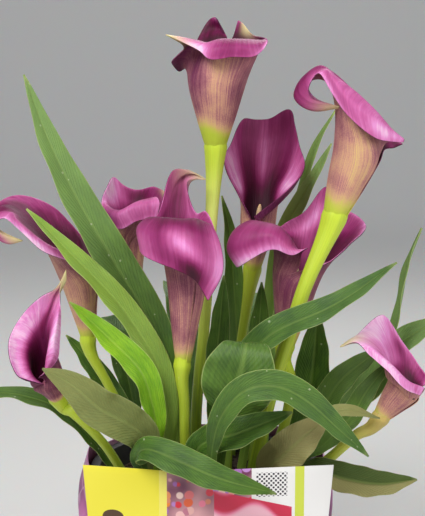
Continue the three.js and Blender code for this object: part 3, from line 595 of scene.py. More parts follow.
@dataclass(frozen=True)
class BladeFinish(Finish):
    """A leaf's skin, with veins, midrib, pale rim, patches and specks."""

    upper: tuple[Colour, Colour] = ((46, 78, 20), (84, 120, 34))
    under: tuple[Colour, Colour] = ((88, 118, 54), (112, 140, 68))
    rib: Colour = (150, 176, 92)
    rim: Colour = (168, 184, 112)
    foot: Colour = (150, 178, 70)
    # pale is the colour that the vertices' paleness lays on: partly painted light, partly a paler underside
    pale: Colour = (140, 172, 98)
    haze: Colour = (92, 128, 88)
    dots: Colour = (196, 206, 168)
    veins: float = 0.06
    specks: float = 0.0
    depth: float = 0.5

    def lay(self, board: Board) -> Look:
        """Lays the leaf's nodes."""
        around, along, _ = board.parts(board.surface())
        angle = board.times(around, 2 * math.pi)
        across = board.math("COSINE", angle)
        side = board.math("ABSOLUTE", across)
        veins = Groups.use(board, "blade_veins", Across=across, Along=along, Veins=46.0, Slant=0.16)
        spread = board.joined(across, board.times(along, 9.0))
        streaks = Groups.use(board, "streaks", Surface=spread, Lines=26.0, Wander=0.06)
        mottle = Groups.use(board, "mottle", Place=board.place(), Scale=260.0, Share=self.specks)
        tone = board.total((mottle["Patches"], 0.55), (streaks["Broad"], 0.45))
        upper = board.ramp(tone, list(enumerate(self.upper)))
        under = board.ramp(tone, list(enumerate(self.under)))
        colour = board.coats(
            under,
            (board.span(board.math("SINE", angle), -0.12, 0.12), upper),
            (board.attribute("haze"), self.haze),
            # Painted light in part: leaves made paler as if lit more; in part a paler underside on one half
            (board.attribute("light"), self.pale),
            (board.times(veins["Lines"], self.veins), self.rib),
            (board.times(veins["Rib"], 0.26), self.rib),
            (board.span(side, 0.955, 0.995, 0.0, 0.75), self.rim),
            (board.times(mottle["Dots"], 0.5), self.dots),
            (board.span(along, 0.05, 0.34, 0.8, 0.0), self.foot),
            (board.span(along, 0.965, 1.0, 0.0, 0.6), self.rim))
        gloss = board.total((mottle["Grain"], 0.14), start=self.roughness)
        return colour, gloss, board.total((streaks["Fine"], 0.35), start=veins["Height"])


LEAF_FINISHES = {
    LeafTone.DARK: BladeFinish("leaf_dark", roughness=0.4, coat=0.03, glow=0.05, specular=0.3, specks=0.07),
    LeafTone.LIME: BladeFinish("leaf_lime", roughness=0.38, coat=0.06, glow=0.08, specular=0.4,
                               upper=((104, 156, 20), (150, 198, 34)), under=((120, 152, 64), (146, 176, 84)),
                               rib=(176, 204, 96), rim=(190, 208, 120), haze=(134, 150, 80)),
    LeafTone.OLIVE: BladeFinish("leaf_olive", roughness=0.5, glow=0.05, specular=0.3,
                                upper=((96, 112, 50), (126, 138, 66)), under=((84, 104, 44), (112, 128, 62)),
                                rib=(158, 172, 96), rim=(150, 156, 104), pale=(182, 168, 112),
                                haze=(60, 80, 24)),
}


@dataclass(frozen=True)
class LeafShade:
    """How pale and how hazy a leaf is, each at its foot and at its tip, and how pale one half is."""

    # light is painted light in part, the leaf made paler as if lit more; flank makes one half paler for its
    # underside
    light: Numbers = (0, 0)
    haze: Numbers = (0, 0)
    flank: float = 0.0


@dataclass(frozen=True)
class LeafShape:
    """One leaf: its midrib's route from the soil, the blade along it and its tone.

    The petiole is the share of the route before the blade. The face is the way that the blade's upper side
    looks, and the fold is how far its halves rise, in degrees, each at the foot and at the tip.
    """

    foot: Numbers
    width: float
    fold: Numbers
    face: Sequence[Numbers]
    route: Sequence[Numbers]
    petiole: float = 0.3
    tone: LeafTone = LeafTone.DARK
    shade: LeafShade = LeafShade()


@dataclass(frozen=True)
class LeafRow:
    """What a leaf is like at one share of its length."""

    spot: Vector
    across: Vector
    upward: Vector
    blade: float
    half: float
    rise: float
    thin: float


@dataclass
class Leaf:
    """A leaf built as one closed form, round at its foot and thin in its blade."""

    name: str
    shape: LeafShape
    petiole_half: float = 3.2
    petiole_thickness: float = 4.2
    rib_thickness: float = 1.5
    edge_thickness: float = 0.7
    tip_half: float = 0.5
    foot_power: float = 0.8
    tip_power: float = 0.85
    ripple: float = 0.9
    ripple_offset: float = 0.37
    groove_reach: float = 1.3
    upper_groove: float = 0.45
    lower_groove: float = 0.55
    around: int = 28
    rows: int = 64

    def lance(self, share: float) -> float:
        """Half width of a lance-shaped blade, from 0 to 1, widest about its middle."""

        def outline(x: float) -> float:
            """The outline before it is scaled."""
            return x ** self.foot_power * (1 - x) ** self.tip_power

        return outline(clamp(share)) / outline(self.foot_power / (self.foot_power + self.tip_power))

    def row(self, midrib: Route, along: float) -> LeafRow:
        """Works out what the leaf is like at a share of its length.

        Args:
            midrib: the route from the soil to the tip.
            along: the share of its length.

        Returns:
            The place, directions and sizes there.
        """
        shape = self.shape
        spot, ahead = midrib.along(along)
        facing = Vector(shape.face[0]).lerp(Vector(shape.face[1]), along)
        across = ahead.cross(facing).normalized()
        blade = max(0.0, (along - shape.petiole) / (1 - shape.petiole))
        stem = lerp(self.petiole_half, self.tip_half, smooth(blade * 2))
        half = math.hypot(stem, (shape.width - self.tip_half) * self.lance(blade))
        rise = math.radians(lerp(*shape.fold, along)) * smooth(blade * 5)
        return LeafRow(spot, across, across.cross(ahead), blade, half, rise, smooth(blade * 4))

    def build(self) -> bpy.types.Object:
        """The leaf's mesh.

        Returns:
            The object.
        """
        shade = self.shape.shade
        midrib = soil_route(self.shape.foot, self.shape.route)
        ripples = 5 + self.shape.width / 5
        rows = cache(lambda along: self.row(midrib, along))

        def place(x: float, y: float) -> Vector:
            """A vertex on the upper or the lower side."""
            row = rows(y)
            side, level = math.cos(2 * math.pi * x), math.sin(2 * math.pi * x)
            way = 1 if side >= 0 else -1
            out = row.across * math.cos(row.rise) + row.upward * math.sin(row.rise) * way
            normal = row.upward * math.cos(row.rise) - row.across * math.sin(row.rise) * way
            normal = normal.lerp(row.upward, bump(side, 0.2))
            rib = lerp(self.petiole_thickness, self.rib_thickness, row.thin)
            edge = lerp(self.petiole_thickness / 2, self.edge_thickness, row.thin)
            skin = lerp(rib, edge, abs(side)) / 2 * abs(level) ** lerp(1, 0.45, row.thin)
            deep = self.upper_groove if level > 0 else self.lower_groove
            groove = bump(side * row.half, self.groove_reach) * row.thin * deep
            wave = self.ripple * row.thin * abs(side) ** 2.5 * min(1, row.blade * 6, (1 - row.blade) * 6)
            sway = wave * math.sin(2 * math.pi * (ripples * y + (self.ripple_offset if side > 0 else 0)))
            lift = (skin if level > 0 else -skin) - groove + sway
            return row.spot + out * (row.half * side) + normal * lift

        def light(x: float, y: float) -> float:
            """How pale a vertex is, from foot to tip and with one half paler: painted light and a paler
            underside.
            """
            half = smooth(math.cos(2 * math.pi * x) * math.copysign(4, shade.flank))
            return lerp(*shade.light, clamp(y) ** 2) + abs(shade.flank) * half

        def haze(x: float, y: float) -> float:
            """How hazy a vertex is."""
            return lerp(*shade.haze, clamp(y))

        paints = {"light": light, "haze": haze}
        return grown(f"{self.name}_blade", self.around, self.rows, place, paints, closed=True)


# Blooms


@dataclass(frozen=True)
class Lip:
    """A line on a spathe's lip, and where it lies round the tube: 0 is the back, -1 and 1 the margins."""

    at: float
    line: Sequence[Numbers]


@dataclass(frozen=True)
class Spot:
    """A soft patch of another tone on a spathe; a few are painted highlights and painted shade.

    Its place round the spathe is as for the lines, its place along is 0 at the base and 1 at the edge, and
    then follow its reach in each and its tone.
    """

    at: float
    along: float
    width: float
    height: float
    tone: float


@dataclass(frozen=True)
class BloomTones:
    """Where one spathe's colours differ from the usual ones."""

    inside: Sequence[Spot] = ()
    outside: Sequence[Spot] = ()
    tips: Sequence[Spot] = (Spot(0, 1, 0.08, 0.14, 1),)
    blush: Sequence[Spot] = ()
    shade: float = 0.0
    base: float = 0.01
    # pale is how strong the painted light on the stalk is
    pale: float = 0.0
    warm: float = 0.0


@dataclass(frozen=True)
class BloomShape:
    """One bloom: its stalk's route, its spathe's lines from the base to the lip's edge, and its tones.

    The radii are the stalk's at its foot and at its top. The tube is heights and radii, the wrap is how far
    round each margin goes at the base and at the tube's end, and the reach is the spadix's length over the
    height of the tube's second ring.
    """

    foot: Numbers
    stem: Sequence[Numbers]
    base: Numbers
    axis: Numbers
    back: Numbers
    radius: Numbers
    tube: Sequence[Numbers]
    lips: Sequence[Lip]
    wrap: Numbers = (1.2, 1, 1.2, 1)
    reach: float = 1.2
    tones: BloomTones = BloomTones()


@dataclass(frozen=True)
class InsideFinish(Finish):
    """The inside of a spathe: a dark throat that fades to a pale edge."""

    stops: tuple[tuple[float, Colour], ...] = (
        (0.0, (44, 4, 22)), (0.2, (78, 6, 44)), (0.4, (120, 18, 78)), (0.6, (162, 56, 118)),
        (0.78, (202, 98, 160)), (0.92, (232, 146, 206)), (1.0, (246, 194, 228)))
    tip: Colour = (228, 216, 152)
    depth: float = 0.35

    def lay(self, board: Board) -> Look:
        """Lays the inside's nodes."""
        streaks = Groups.use(board, "streaks", Surface=board.surface(), Lines=110.0, Wander=0.012)
        mottle = Groups.use(board, "mottle", Place=board.place(), Scale=300.0, Share=0.0)
        drift = board.total((streaks["Broad"], 0.05), (streaks["Fine"], 0.09), (mottle["Patches"], 0.06),
                            start=-0.1)
        petal = board.ramp(board.math("ADD", board.attribute("inside"), drift), self.stops)
        colour = board.coats(petal, (board.attribute("tip"), self.tip))
        gloss = board.total((mottle["Grain"], 0.12), start=self.roughness)
        return colour, gloss, streaks["Height"]


@dataclass(frozen=True)
class OutsideFinish(Finish):
    """The outside of a spathe: lime at its base, then streaked tan and rose, and dark towards its edges."""

    stops: tuple[tuple[float, Colour], ...] = (
        (0.0, (196, 212, 64)), (0.1, (212, 202, 96)), (0.22, (222, 182, 128)), (0.38, (206, 150, 130)),
        (0.54, (164, 102, 112)), (0.7, (126, 62, 86)), (0.85, (112, 40, 84)), (1.0, (84, 20, 58)))
    tip: Colour = (226, 214, 150)
    blush: Colour = (222, 128, 192)
    depth: float = 0.4

    def lay(self, board: Board) -> Look:
        """Lays the outside's nodes."""
        streaks = Groups.use(board, "streaks", Surface=board.surface(), Lines=230.0, Wander=0.03)
        mottle = Groups.use(board, "mottle", Place=board.place(), Scale=220.0, Share=0.0)
        drift = board.total((streaks["Broad"], 0.07), (streaks["Fine"], 0.19), (mottle["Patches"], 0.17),
                            (mottle["Grain"], 0.3), start=-0.34)
        base = board.attribute("outside")
        petal = board.ramp(board.total((drift, board.span(base, 0.02, 0.25)), start=base), self.stops)
        blush = board.total((streaks["Fine"], -0.2), start=board.attribute("blush"))
        colour = board.coats(petal, (board.math("MAXIMUM", blush, 0.0), self.blush),
                             (board.attribute("tip"), self.tip))
        gloss = board.total((mottle["Grain"], 0.12), start=self.roughness)
        return colour, gloss, streaks["Height"]


@dataclass(frozen=True)
class StalkFinish(Finish):
    """The stalk's skin: lime and yellow, greener towards the soil, with a pale band of painted light."""

    low: Colour = (124, 150, 36)
    middle: Colour = (176, 196, 52)
    high: Colour = (202, 222, 58)
    # pale is the colour of the painted light on the stalk
    pale: Colour = (240, 248, 132)
    warm: Colour = (196, 148, 104)
    dots: Colour = (220, 228, 140)

    def lay(self, board: Board) -> Look:
        """Lays the stalk's nodes."""
        surface = board.surface()
        _, along, _ = board.parts(surface)
        streaks = Groups.use(board, "streaks", Surface=surface, Lines=40.0, Wander=0.05)
        mottle = Groups.use(board, "mottle", Place=board.place(), Scale=400.0, Share=0.06)
        tone = board.total((along, 1.0), (streaks["Broad"], 0.3), start=-0.15)
        colour = board.coats(
            board.ramp(tone, [(0.08, self.low), (0.42, self.middle), (0.95, self.high)]),
            # Painted light: a pale band on the stalk.
            (board.attribute("pale"), self.pale),
            (board.attribute("warm"), self.warm),
            (board.times(streaks["Fine"], 0.18), self.low),
            (board.times(mottle["Dots"], 0.35), self.dots))
        return colour, board.total((mottle["Grain"], 0.1), start=self.roughness), streaks["Height"]


@dataclass(frozen=True)
class SpadixFinish(Finish):
    """The spadix's cream and orange florets."""

    low: Colour = (214, 150, 92)
    middle: Colour = (226, 182, 128)
    high: Colour = (240, 214, 172)
    pollen: Colour = (250, 236, 200)

    def lay(self, board: Board) -> Look:
        """Lays the florets' nodes."""
        _, along, _ = board.parts(board.surface())
        mottle = Groups.use(board, "mottle", Place=board.place(), Scale=900.0, Share=0.3)
        tone = board.total((along, 0.6), (mottle["Patches"], 0.4))
        skin = board.ramp(tone, [(0, self.low), (0.5, self.middle), (1, self.high)])
        colour = board.coats(skin, (board.times(mottle["Dots"], 0.4), self.pollen))
        return colour, self.roughness, mottle["Grain"]


@dataclass
class Bloom:
    """A bloom: a round stalk, the spathe that wraps its end, and the spadix inside."""

    number: int
    shape: BloomShape
    fold_share: float = 0.4
    thickness: float = 0.8
    margin_step: float = 0.5
    wrap_inset: float = 1.7
    ripple_start: float = 0.6
    ripple_height: float = 0.5
    ripple_size: float = 9
    throat_tone: float = 0.04
    lip_tone: float = 0.58
    rim_tone: float = 0.3
    outside_tone: float = 0.27
    stalk_straight: float = 8
    stalk_swell: float = 0.55
    stalk_flare: float = 4.5
    stalk_inside: float = 12
    stalk_inset: float = 0.8
    stalk_ribs: int = 7
    rib_depth: float = 0.02
    spadix_start: float = 0.5
    spadix_length: float = 58
    spadix_radius: float = 2.6
    floret_height: float = 1.4
    floret_columns: int = 12
    across: int = 56
    along: int = 44
    up: Vector = field(init=False)
    side: Vector = field(init=False)
    back: Vector = field(init=False)

    def __post_init__(self) -> None:
        """Works out the bloom's own directions."""
        self.up = Vector(self.shape.axis).normalized()
        self.side = Vector(self.shape.back).cross(self.up).normalized()
        self.back = self.up.cross(self.side)

    def surface(self) -> Place:
        """The spathe's middle surface: lines up the wrapped tube and along the lip, joined round.

        Returns:
            A function from a share round the spathe and one along it to a place in millimetres.
        """
        shape = self.shape
        rings = [(0, shape.radius[1] - self.wrap_inset), *shape.tube]
        lines = []
        for lip in shape.lips:
            wrap = shape.wrap[:2] if lip.at < 0 else shape.wrap[2:]
            walls = []
            for number, (height, radius) in enumerate(rings):
                turn = lip.at * math.pi * lerp(*wrap, number / len(rings))
                reach = radius + self.margin_step * lip.at
                walls.append(self.up * height + self.side * (reach * math.sin(turn))
                             + self.back * (reach * math.cos(turn)))
            lines.append(Route([*walls, *lip.line]))

        @cache
        def row(along: float) -> Route:
            """The line round the spathe at a share of its length."""
            spots = []
            for line in lines:
                last = len(line.points) - 1
                if along < self.fold_share:
                    place = along / self.fold_share * len(rings)
                else:
                    lip_share = (along - self.fold_share) / (1 - self.fold_share)
                    place = len(rings) + lip_share * (last - len(rings))
                spots.append(line.point(place / last))
            return Route(spots)

        return lambda x, y: row(y).point(x)

    def tone(self, spots: Sequence[Spot], usual: Paint) -> Paint:
        """How a tone varies over the spathe.

        Args:
            spots: patches of another tone.
            usual: the tone away from them.

        Returns:
            A function from shares round and along the spathe to the tone.
        """
        places = [lip.at for lip in self.shape.lips]

        def paint(x: float, y: float) -> float:
            """The tone at a vertex."""
            step = x * (len(places) - 1)
            gap = min(int(step), len(places) - 2)
            at = lerp(places[gap], places[gap + 1], step - gap)
            value = usual(x, y)
            for spot in spots:
                weight = bump(math.hypot((at - spot.at) / spot.width, (y - spot.along) / spot.height), 1)
                value = lerp(value, spot.tone, weight)
            return value

        return paint

    def spathe(self) -> bpy.types.Object:
        """The spathe's mesh, with its tones.

        Returns:
            The object.
        """
        tones = self.shape.tones
        surface = self.surface()
        base = Vector(self.shape.base)

        def place(x: float, y: float) -> Vector:
            """A vertex on the middle surface, with a faint ripple towards the edge."""
            spot = base + surface(x, y)
            ripple = smooth((y - self.ripple_start) / (1 - self.ripple_start)) * self.ripple_height
            return spot + Vector(noise.noise_vector(spot / self.ripple_size)) * ripple

        def inside(x: float, y: float) -> float:
            """Dark in the throat, paler towards the edge."""
            aside = abs(2 * x - 1)
            rim = smooth((y - 0.93) / 0.07) * smooth(aside / 0.3)
            margin = smooth((aside - 0.93) / 0.07) * smooth((y - 0.5) / 0.2)
            tone = lerp(self.throat_tone, self.lip_tone, smooth((y - 0.3) / 0.5))
            return tone + self.rim_tone * max(rim, margin)

        def usual(x: float, y: float) -> float:
            """Tan and rose along the tube, dark towards the edges."""
            rise = self.outside_tone + tones.shade + smooth((y - 0.1) / 0.5) * 0.2
            return rise + 0.36 * smooth((y - 0.5) / 0.4) + 0.08 * abs(2 * x - 1)

        spotted = self.tone(tones.outside, usual)

        def outside(x: float, y: float) -> float:
            """The same with lime at the base."""
            start = tones.base * (1 + math.sin(7 * x + self.number) ** 2)
            return spotted(x, y) * smooth((y - start) / 0.1)

        def plain(x: float, y: float) -> float:
            """No tone away from the patches."""
            return 0

        paints = {"inside": self.tone(tones.inside, inside), "outside": outside,
                  "tip": self.tone(tones.tips, plain), "blush": self.tone(tones.blush, plain)}
        piece = grown(f"spathe_{self.number}_petal", self.across, self.along, place, paints)
        thicken(piece, self.thickness, back_material=1)
        return piece

    def stalk(self) -> bpy.types.Object:
        """The stalk's mesh, round, faintly ribbed and closed in the spathe's base.

        Returns:
            The object.
        """
        shape = self.shape
        end = Vector(shape.base)
        points = [*shape.stem, end - self.up * self.stalk_straight, end + self.up * self.stalk_inside]
        route = soil_route(shape.foot, points)
        route.share_at(1)
        top = 1 - self.stalk_inside / route.lengths[-1]

        def place(x: float, y: float) -> Vector:
            """A vertex on the stalk's skin."""
            spot, ahead = route.along(y)
            across = ahead.cross(Vector((0, 1, 0))).normalized()
            outward = across.cross(ahead)
            angle = 2 * math.pi * x
            swell = clamp((y / top - self.stalk_swell) / (1 - self.stalk_swell))
            radius = lerp(*shape.radius, swell ** self.stalk_flare)
            ribs = 1 + self.rib_depth * math.cos(self.stalk_ribs * angle + 1.5 * math.sin(4 * y))
            inner = max(0, (spot - end).dot(self.up)) / self.stalk_inside
            rounding = (radius - 1) * max(0, inner - 0.6) ** 2 / 0.16
            reach = radius * ribs - self.stalk_inset * smooth(inner * 2) - rounding
            return spot + across * (reach * math.cos(angle)) - outward * (reach * math.sin(angle))

        def pale(x: float, y: float) -> float:
            """Painted light: a pale band below the swelling, where light falls on the stalk."""
            return self.shape.tones.pale * smooth((y - 0.35) / 0.4) * (1 - smooth((y - 0.75) / 0.2))

        def warm(x: float, y: float) -> float:
            """Warmer towards the bloom."""
            return self.shape.tones.warm * smooth((y - 0.45) / 0.5)

        name = f"flower_stalk_{self.number}_stem"
        return grown(name, 24, 72, place, {"pale": pale, "warm": warm}, closed=True)

    def spadix(self) -> bpy.types.Object:
        """The spadix's mesh: a blunt finger covered in small round florets.

        Returns:
            The object.
        """
        length = min(self.spadix_length, self.shape.reach * self.shape.tube[1][0])
        base = Vector(self.shape.base)
        rows = round(length / self.floret_height)

        def place(x: float, y: float) -> Vector:
            """A vertex on the florets."""
            angle = 2 * math.pi * x
            body = self.spadix_radius * math.sqrt(max(0.0, 1 - y ** 9)) * lerp(1, 0.86, y)
            shift = math.pi / 2 * int(rows * y)
            bead = abs(math.sin(math.pi * rows * y)) * abs(math.cos(angle * self.floret_columns / 2 + shift))
            reach = body * (0.88 + 0.2 * bead)
            height = self.spadix_start + y * (length - self.spadix_start)
            return (base + self.up * height + self.side * (reach * math.cos(angle))
                    + self.back * (reach * math.sin(angle)))

        return grown(f"spadix_{self.number}_florets", 4 * self.floret_columns, 4 * rows, place, closed=True)


# Pot, soil, cover and card


def pot_wall_radius(height: float) -> float:
    """The pot's outer radius below its lip at a height."""
    return lerp(POT_BASE_RADIUS, POT_TOP_RADIUS, height / POT_HEIGHT)


@dataclass(frozen=True)
class PlasticFinish(Finish):
    """Dark moulded plastic, with a fine grain and dusty patches."""

    dark: Colour = (34, 33, 35)
    light: Colour = (52, 49, 47)
    dust: Colour = (92, 78, 62)
    depth: float = 0.08

    def lay(self, board: Board) -> Look:
        """Lays the plastic's nodes."""
        mottle = Groups.use(board, "mottle", Place=board.place(), Scale=180.0, Share=0.05)
        ground = board.ramp(mottle["Patches"], [(0, self.dark), (1, self.light)])
        colour = board.coats(ground, (board.times(mottle["Dots"], 0.5), self.dust))
        return colour, board.total((mottle["Grain"], 0.2), start=self.roughness), mottle["Grain"]


@dataclass(frozen=True)
class SoilFinish(Finish):
    """Damp peat: dark crumbs with paler fibres."""

    dark: Colour = (30, 20, 14)
    pale: Colour = (74, 52, 36)
    fibres: Colour = (112, 84, 56)
    depth: float = 1.0

    def lay(self, board: Board) -> Look:
        """Lays the soil's nodes."""
        mottle = Groups.use(board, "mottle", Place=board.place(), Scale=420.0, Share=0.12)
        tone = board.total((mottle["Patches"], 0.4), (mottle["Grain"], 0.6))
        earth = board.ramp(tone, [(0.2, self.dark), (0.8, self.pale)])
        return board.coats(earth, (mottle["Dots"], self.fibres)), self.roughness, mottle["Grain"]


@dataclass(frozen=True)
class PerliteFinish(Finish):
    """White volcanic grains with grey pores."""

    pores: Colour = (150, 146, 138)
    skin: Colour = (226, 224, 216)

    def lay(self, board: Board) -> Look:
        """Lays the grains' nodes."""
        mottle = Groups.use(board, "mottle", Place=board.place(), Scale=900.0, Share=0.3)
        colour = board.ramp(mottle["Grain"], [(0.25, self.pores), (0.6, self.skin)])
        return colour, self.roughness, mottle["Grain"]


@dataclass(frozen=True)
class CoverFinish(Finish):
    """Printed paper: broad pink and purple petals, paler towards the edge, with fine creases."""

    petals: tuple[tuple[float, Colour], ...] = (
        (0.15, (214, 132, 190)), (0.45, (190, 92, 160)), (0.75, (146, 56, 124)), (1.0, (96, 34, 84)))
    lines: Colour = (232, 186, 216)
    edge: Colour = (226, 170, 206)
    petal_scale: float = 30.0
    depth: float = 0.6

    def lay(self, board: Board) -> Look:
        """Lays the print's nodes."""
        place = board.place()
        _, up, _ = board.parts(board.surface())
        drift = board.node("ShaderNodeTexNoise", {"Vector": place, "Scale": 14.0, "Detail": 2.0})
        bent = {0: place, 1: board.scaled(drift.outputs["Color"], 0.05)}
        moved = board.node("ShaderNodeVectorMath", bent, operation="ADD").outputs[0]
        petals = board.cells(moved, self.petal_scale, feature="SMOOTH_F1").outputs["Distance"]
        rims = board.cells(moved, self.petal_scale, feature="DISTANCE_TO_EDGE").outputs["Distance"]
        tone = board.total((petals, 1.3), (board.noise(moved, 60.0, 3.0), 0.35))
        colour = board.coats(
            board.ramp(tone, self.petals),
            (board.span(rims, 0.0, 0.05, 0.5, 0.0), self.lines),
            (board.span(up, 0.8, 1.0, 0.0, 0.35), self.edge))
        creases = board.noise(board.stretch(place, 1, 1, 0.35), 70.0, 4.0, 0.65)
        return colour, board.total((creases, 0.15), start=self.roughness), creases


@dataclass
class Holder:
    """The pot with its soil and the loose grains on it, and the paper cover round it."""

    drain_holes: int = 5
    drain_radius: float = 4
    drain_circle: float = 36
    drill_depth: float = 10
    lip_rounding: float = 0.6
    soil_rings: int = 60
    soil_waist: float = 60
    soil_edge: float = 6
    grain_circle: float = 70
    cover_foot: float = 1.5
    cover_wall: float = 0.6
    cover_corners: int = 6
    cover_low: float = 128.5
    cover_high: float = 138
    cover_taper: float = 0.07
    cover_bulge: float = 10.5
    cover_bulge_start: float = 40
    round_segments: int = 36

    def pot(self) -> bpy.types.Object:
        """The pot: a tapered wall with a rounded lip, and drain holes in its floor.

        Returns:
            The object.
        """
        lip_foot = POT_HEIGHT - LIP_DEPTH
        profile = [(0, 0), (POT_BASE_RADIUS, 0), (pot_wall_radius(lip_foot), lip_foot),
                   (LIP_RADIUS - LIP_DRAFT, lip_foot), (LIP_RADIUS, POT_HEIGHT),
                   (POT_TOP_RADIUS - POT_WALL, POT_HEIGHT),
                   (pot_wall_radius(POT_WALL) - POT_WALL, POT_WALL), (0, POT_WALL)]
        piece = turned("pot_shell", profile, 96, bevel=self.lip_rounding)
        drill = bmesh.new()
        radius = self.drain_radius * MM
        for number in range(self.drain_holes):
            turn = 2 * math.pi * (number + 0.5) / self.drain_holes
            made = bmesh.ops.create_cone(drill, segments=20, radius1=radius, radius2=radius,
                                         depth=self.drill_depth * MM, cap_ends=True)
            spot = Vector((math.cos(turn), math.sin(turn), 0)) * self.drain_circle * MM
            bmesh.ops.translate(drill, verts=made["verts"], vec=spot)
        cutter = finished("drill", drill)
        cut = piece.modifiers.new("drain", "BOOLEAN")
        cut.object, cut.operation, cut.solver = cutter, "DIFFERENCE", "EXACT"
        drilled = bpy.data.meshes.new_from_object(piece.evaluated_get(bpy.context.evaluated_depsgraph_get()))
        piece.modifiers.clear()
        piece.data = drilled
        bpy.data.objects.remove(cutter)
        drilled.shade_smooth()
        return piece

    def soil(self) -> bpy.types.Object:
        """The soil: a filled cone whose top is crumbly and a little lower at the wall.

        Returns:
            The object.
        """

        def inside(height: float) -> float:
            """The radius that fits in the pot."""
            return pot_wall_radius(height) - POT_WALL - GAP

        def crumble(spot: Vector) -> Vector:
            """Raises and sinks the soil's top."""
            if spot.z < SOIL_TOP - 0.01:
                return spot
            edge = smooth((inside(SOIL_TOP) - Vector((spot.x, spot.y)).length) / self.soil_edge)
            rough = noise.noise(spot / 14) * 1.6 + noise.noise(spot / 4) * 1.1 + noise.noise(spot / 1.6) * 0.6
            return spot + Vector((0, 0, edge * (rough - 0.4)))

        bottom = POT_WALL + GAP
        rings = [(inside(SOIL_TOP) * i / self.soil_rings, SOIL_TOP) for i in range(self.soil_rings + 1)]
        waist = (inside(self.soil_waist), self.soil_waist)
        profile = [(0, bottom), (inside(bottom), bottom), waist, *reversed(rings)]
        return turned("soil_body", profile, 150, crumble)

    def grains(self, name: str, count: int, sizes: Numbers, seed: int) -> bpy.types.Object:
        """Loose grains on the soil, in one mesh.

        Args:
            name: the piece's name.
            count: how many grains.
            sizes: the smallest and the largest radius.
            seed: the start of the random draws.

        Returns:
            The object.
        """
        draw = random.Random(seed)
        form = bmesh.new()
        for _ in range(count):
            turn, reach = draw.uniform(0, 2 * math.pi), self.grain_circle * math.sqrt(draw.random())
            size = draw.uniform(*sizes)
            made = bmesh.ops.create_icosphere(form, subdivisions=1, radius=size * MM)
            middle = Vector((reach * math.cos(turn), reach * math.sin(turn), SOIL_TOP + size * 0.35)) * MM
            squash = Vector((draw.uniform(0.7, 1.3), draw.uniform(0.7, 1.3), draw.uniform(0.5, 0.9)))
            for vert in made["verts"]:
                jag = 1 + draw.uniform(-0.22, 0.22)
                vert.co = middle + Vector((a * b * jag for a, b in zip(vert.co, squash)))
        piece = finished(name, form)
        piece.data.shade_flat()
        return piece

    def cover(self) -> bpy.types.Object:
        """The loose paper sleeve, with bulges below its pointed corners and soft creases.

        Returns:
            The object.
        """

        def place(x: float, y: float) -> Vector:
            """A vertex on the sleeve's middle surface."""
            turn = -2 * math.pi * x
            corner = math.cos(self.cover_corners * (turn - math.pi) / 2) ** 2
            height = lerp(self.cover_foot, lerp(self.cover_low, self.cover_high, corner ** 2), y)
            share = (height - self.cover_bulge_start) / (self.cover_high - self.cover_bulge_start)
            loose = math.sin(math.pi * clamp(share))
            straight = LIP_RADIUS + GAP - max(0, POT_HEIGHT - LIP_DEPTH - height) * self.cover_taper
            radius = straight / math.cos(math.pi / self.round_segments) + self.cover_bulge * corner * loose
            ring = Vector((math.cos(turn), math.sin(turn), 0))
            spot = Vector((ring.x * 90, ring.y * 90, height * 0.5))
            crease = abs(noise.noise(spot / 16)) * 1.6 + abs(noise.noise(spot / 7)) * 0.6
            radius += 0.4 - min(crease, 1.8) * loose * corner
            return ring * radius + Vector((0, 0, height))

        piece = grown("pot_cover_paper", 240, 44, place)
        seam = bmesh.new()
        seam.from_mesh(piece.data)
        bmesh.ops.remove_doubles(seam, verts=seam.verts, dist=1e-6)
        seam.to_mesh(piece.data)
        seam.free()
        piece.data.shade_smooth()
        thicken(piece, self.cover_wall)
        return piece


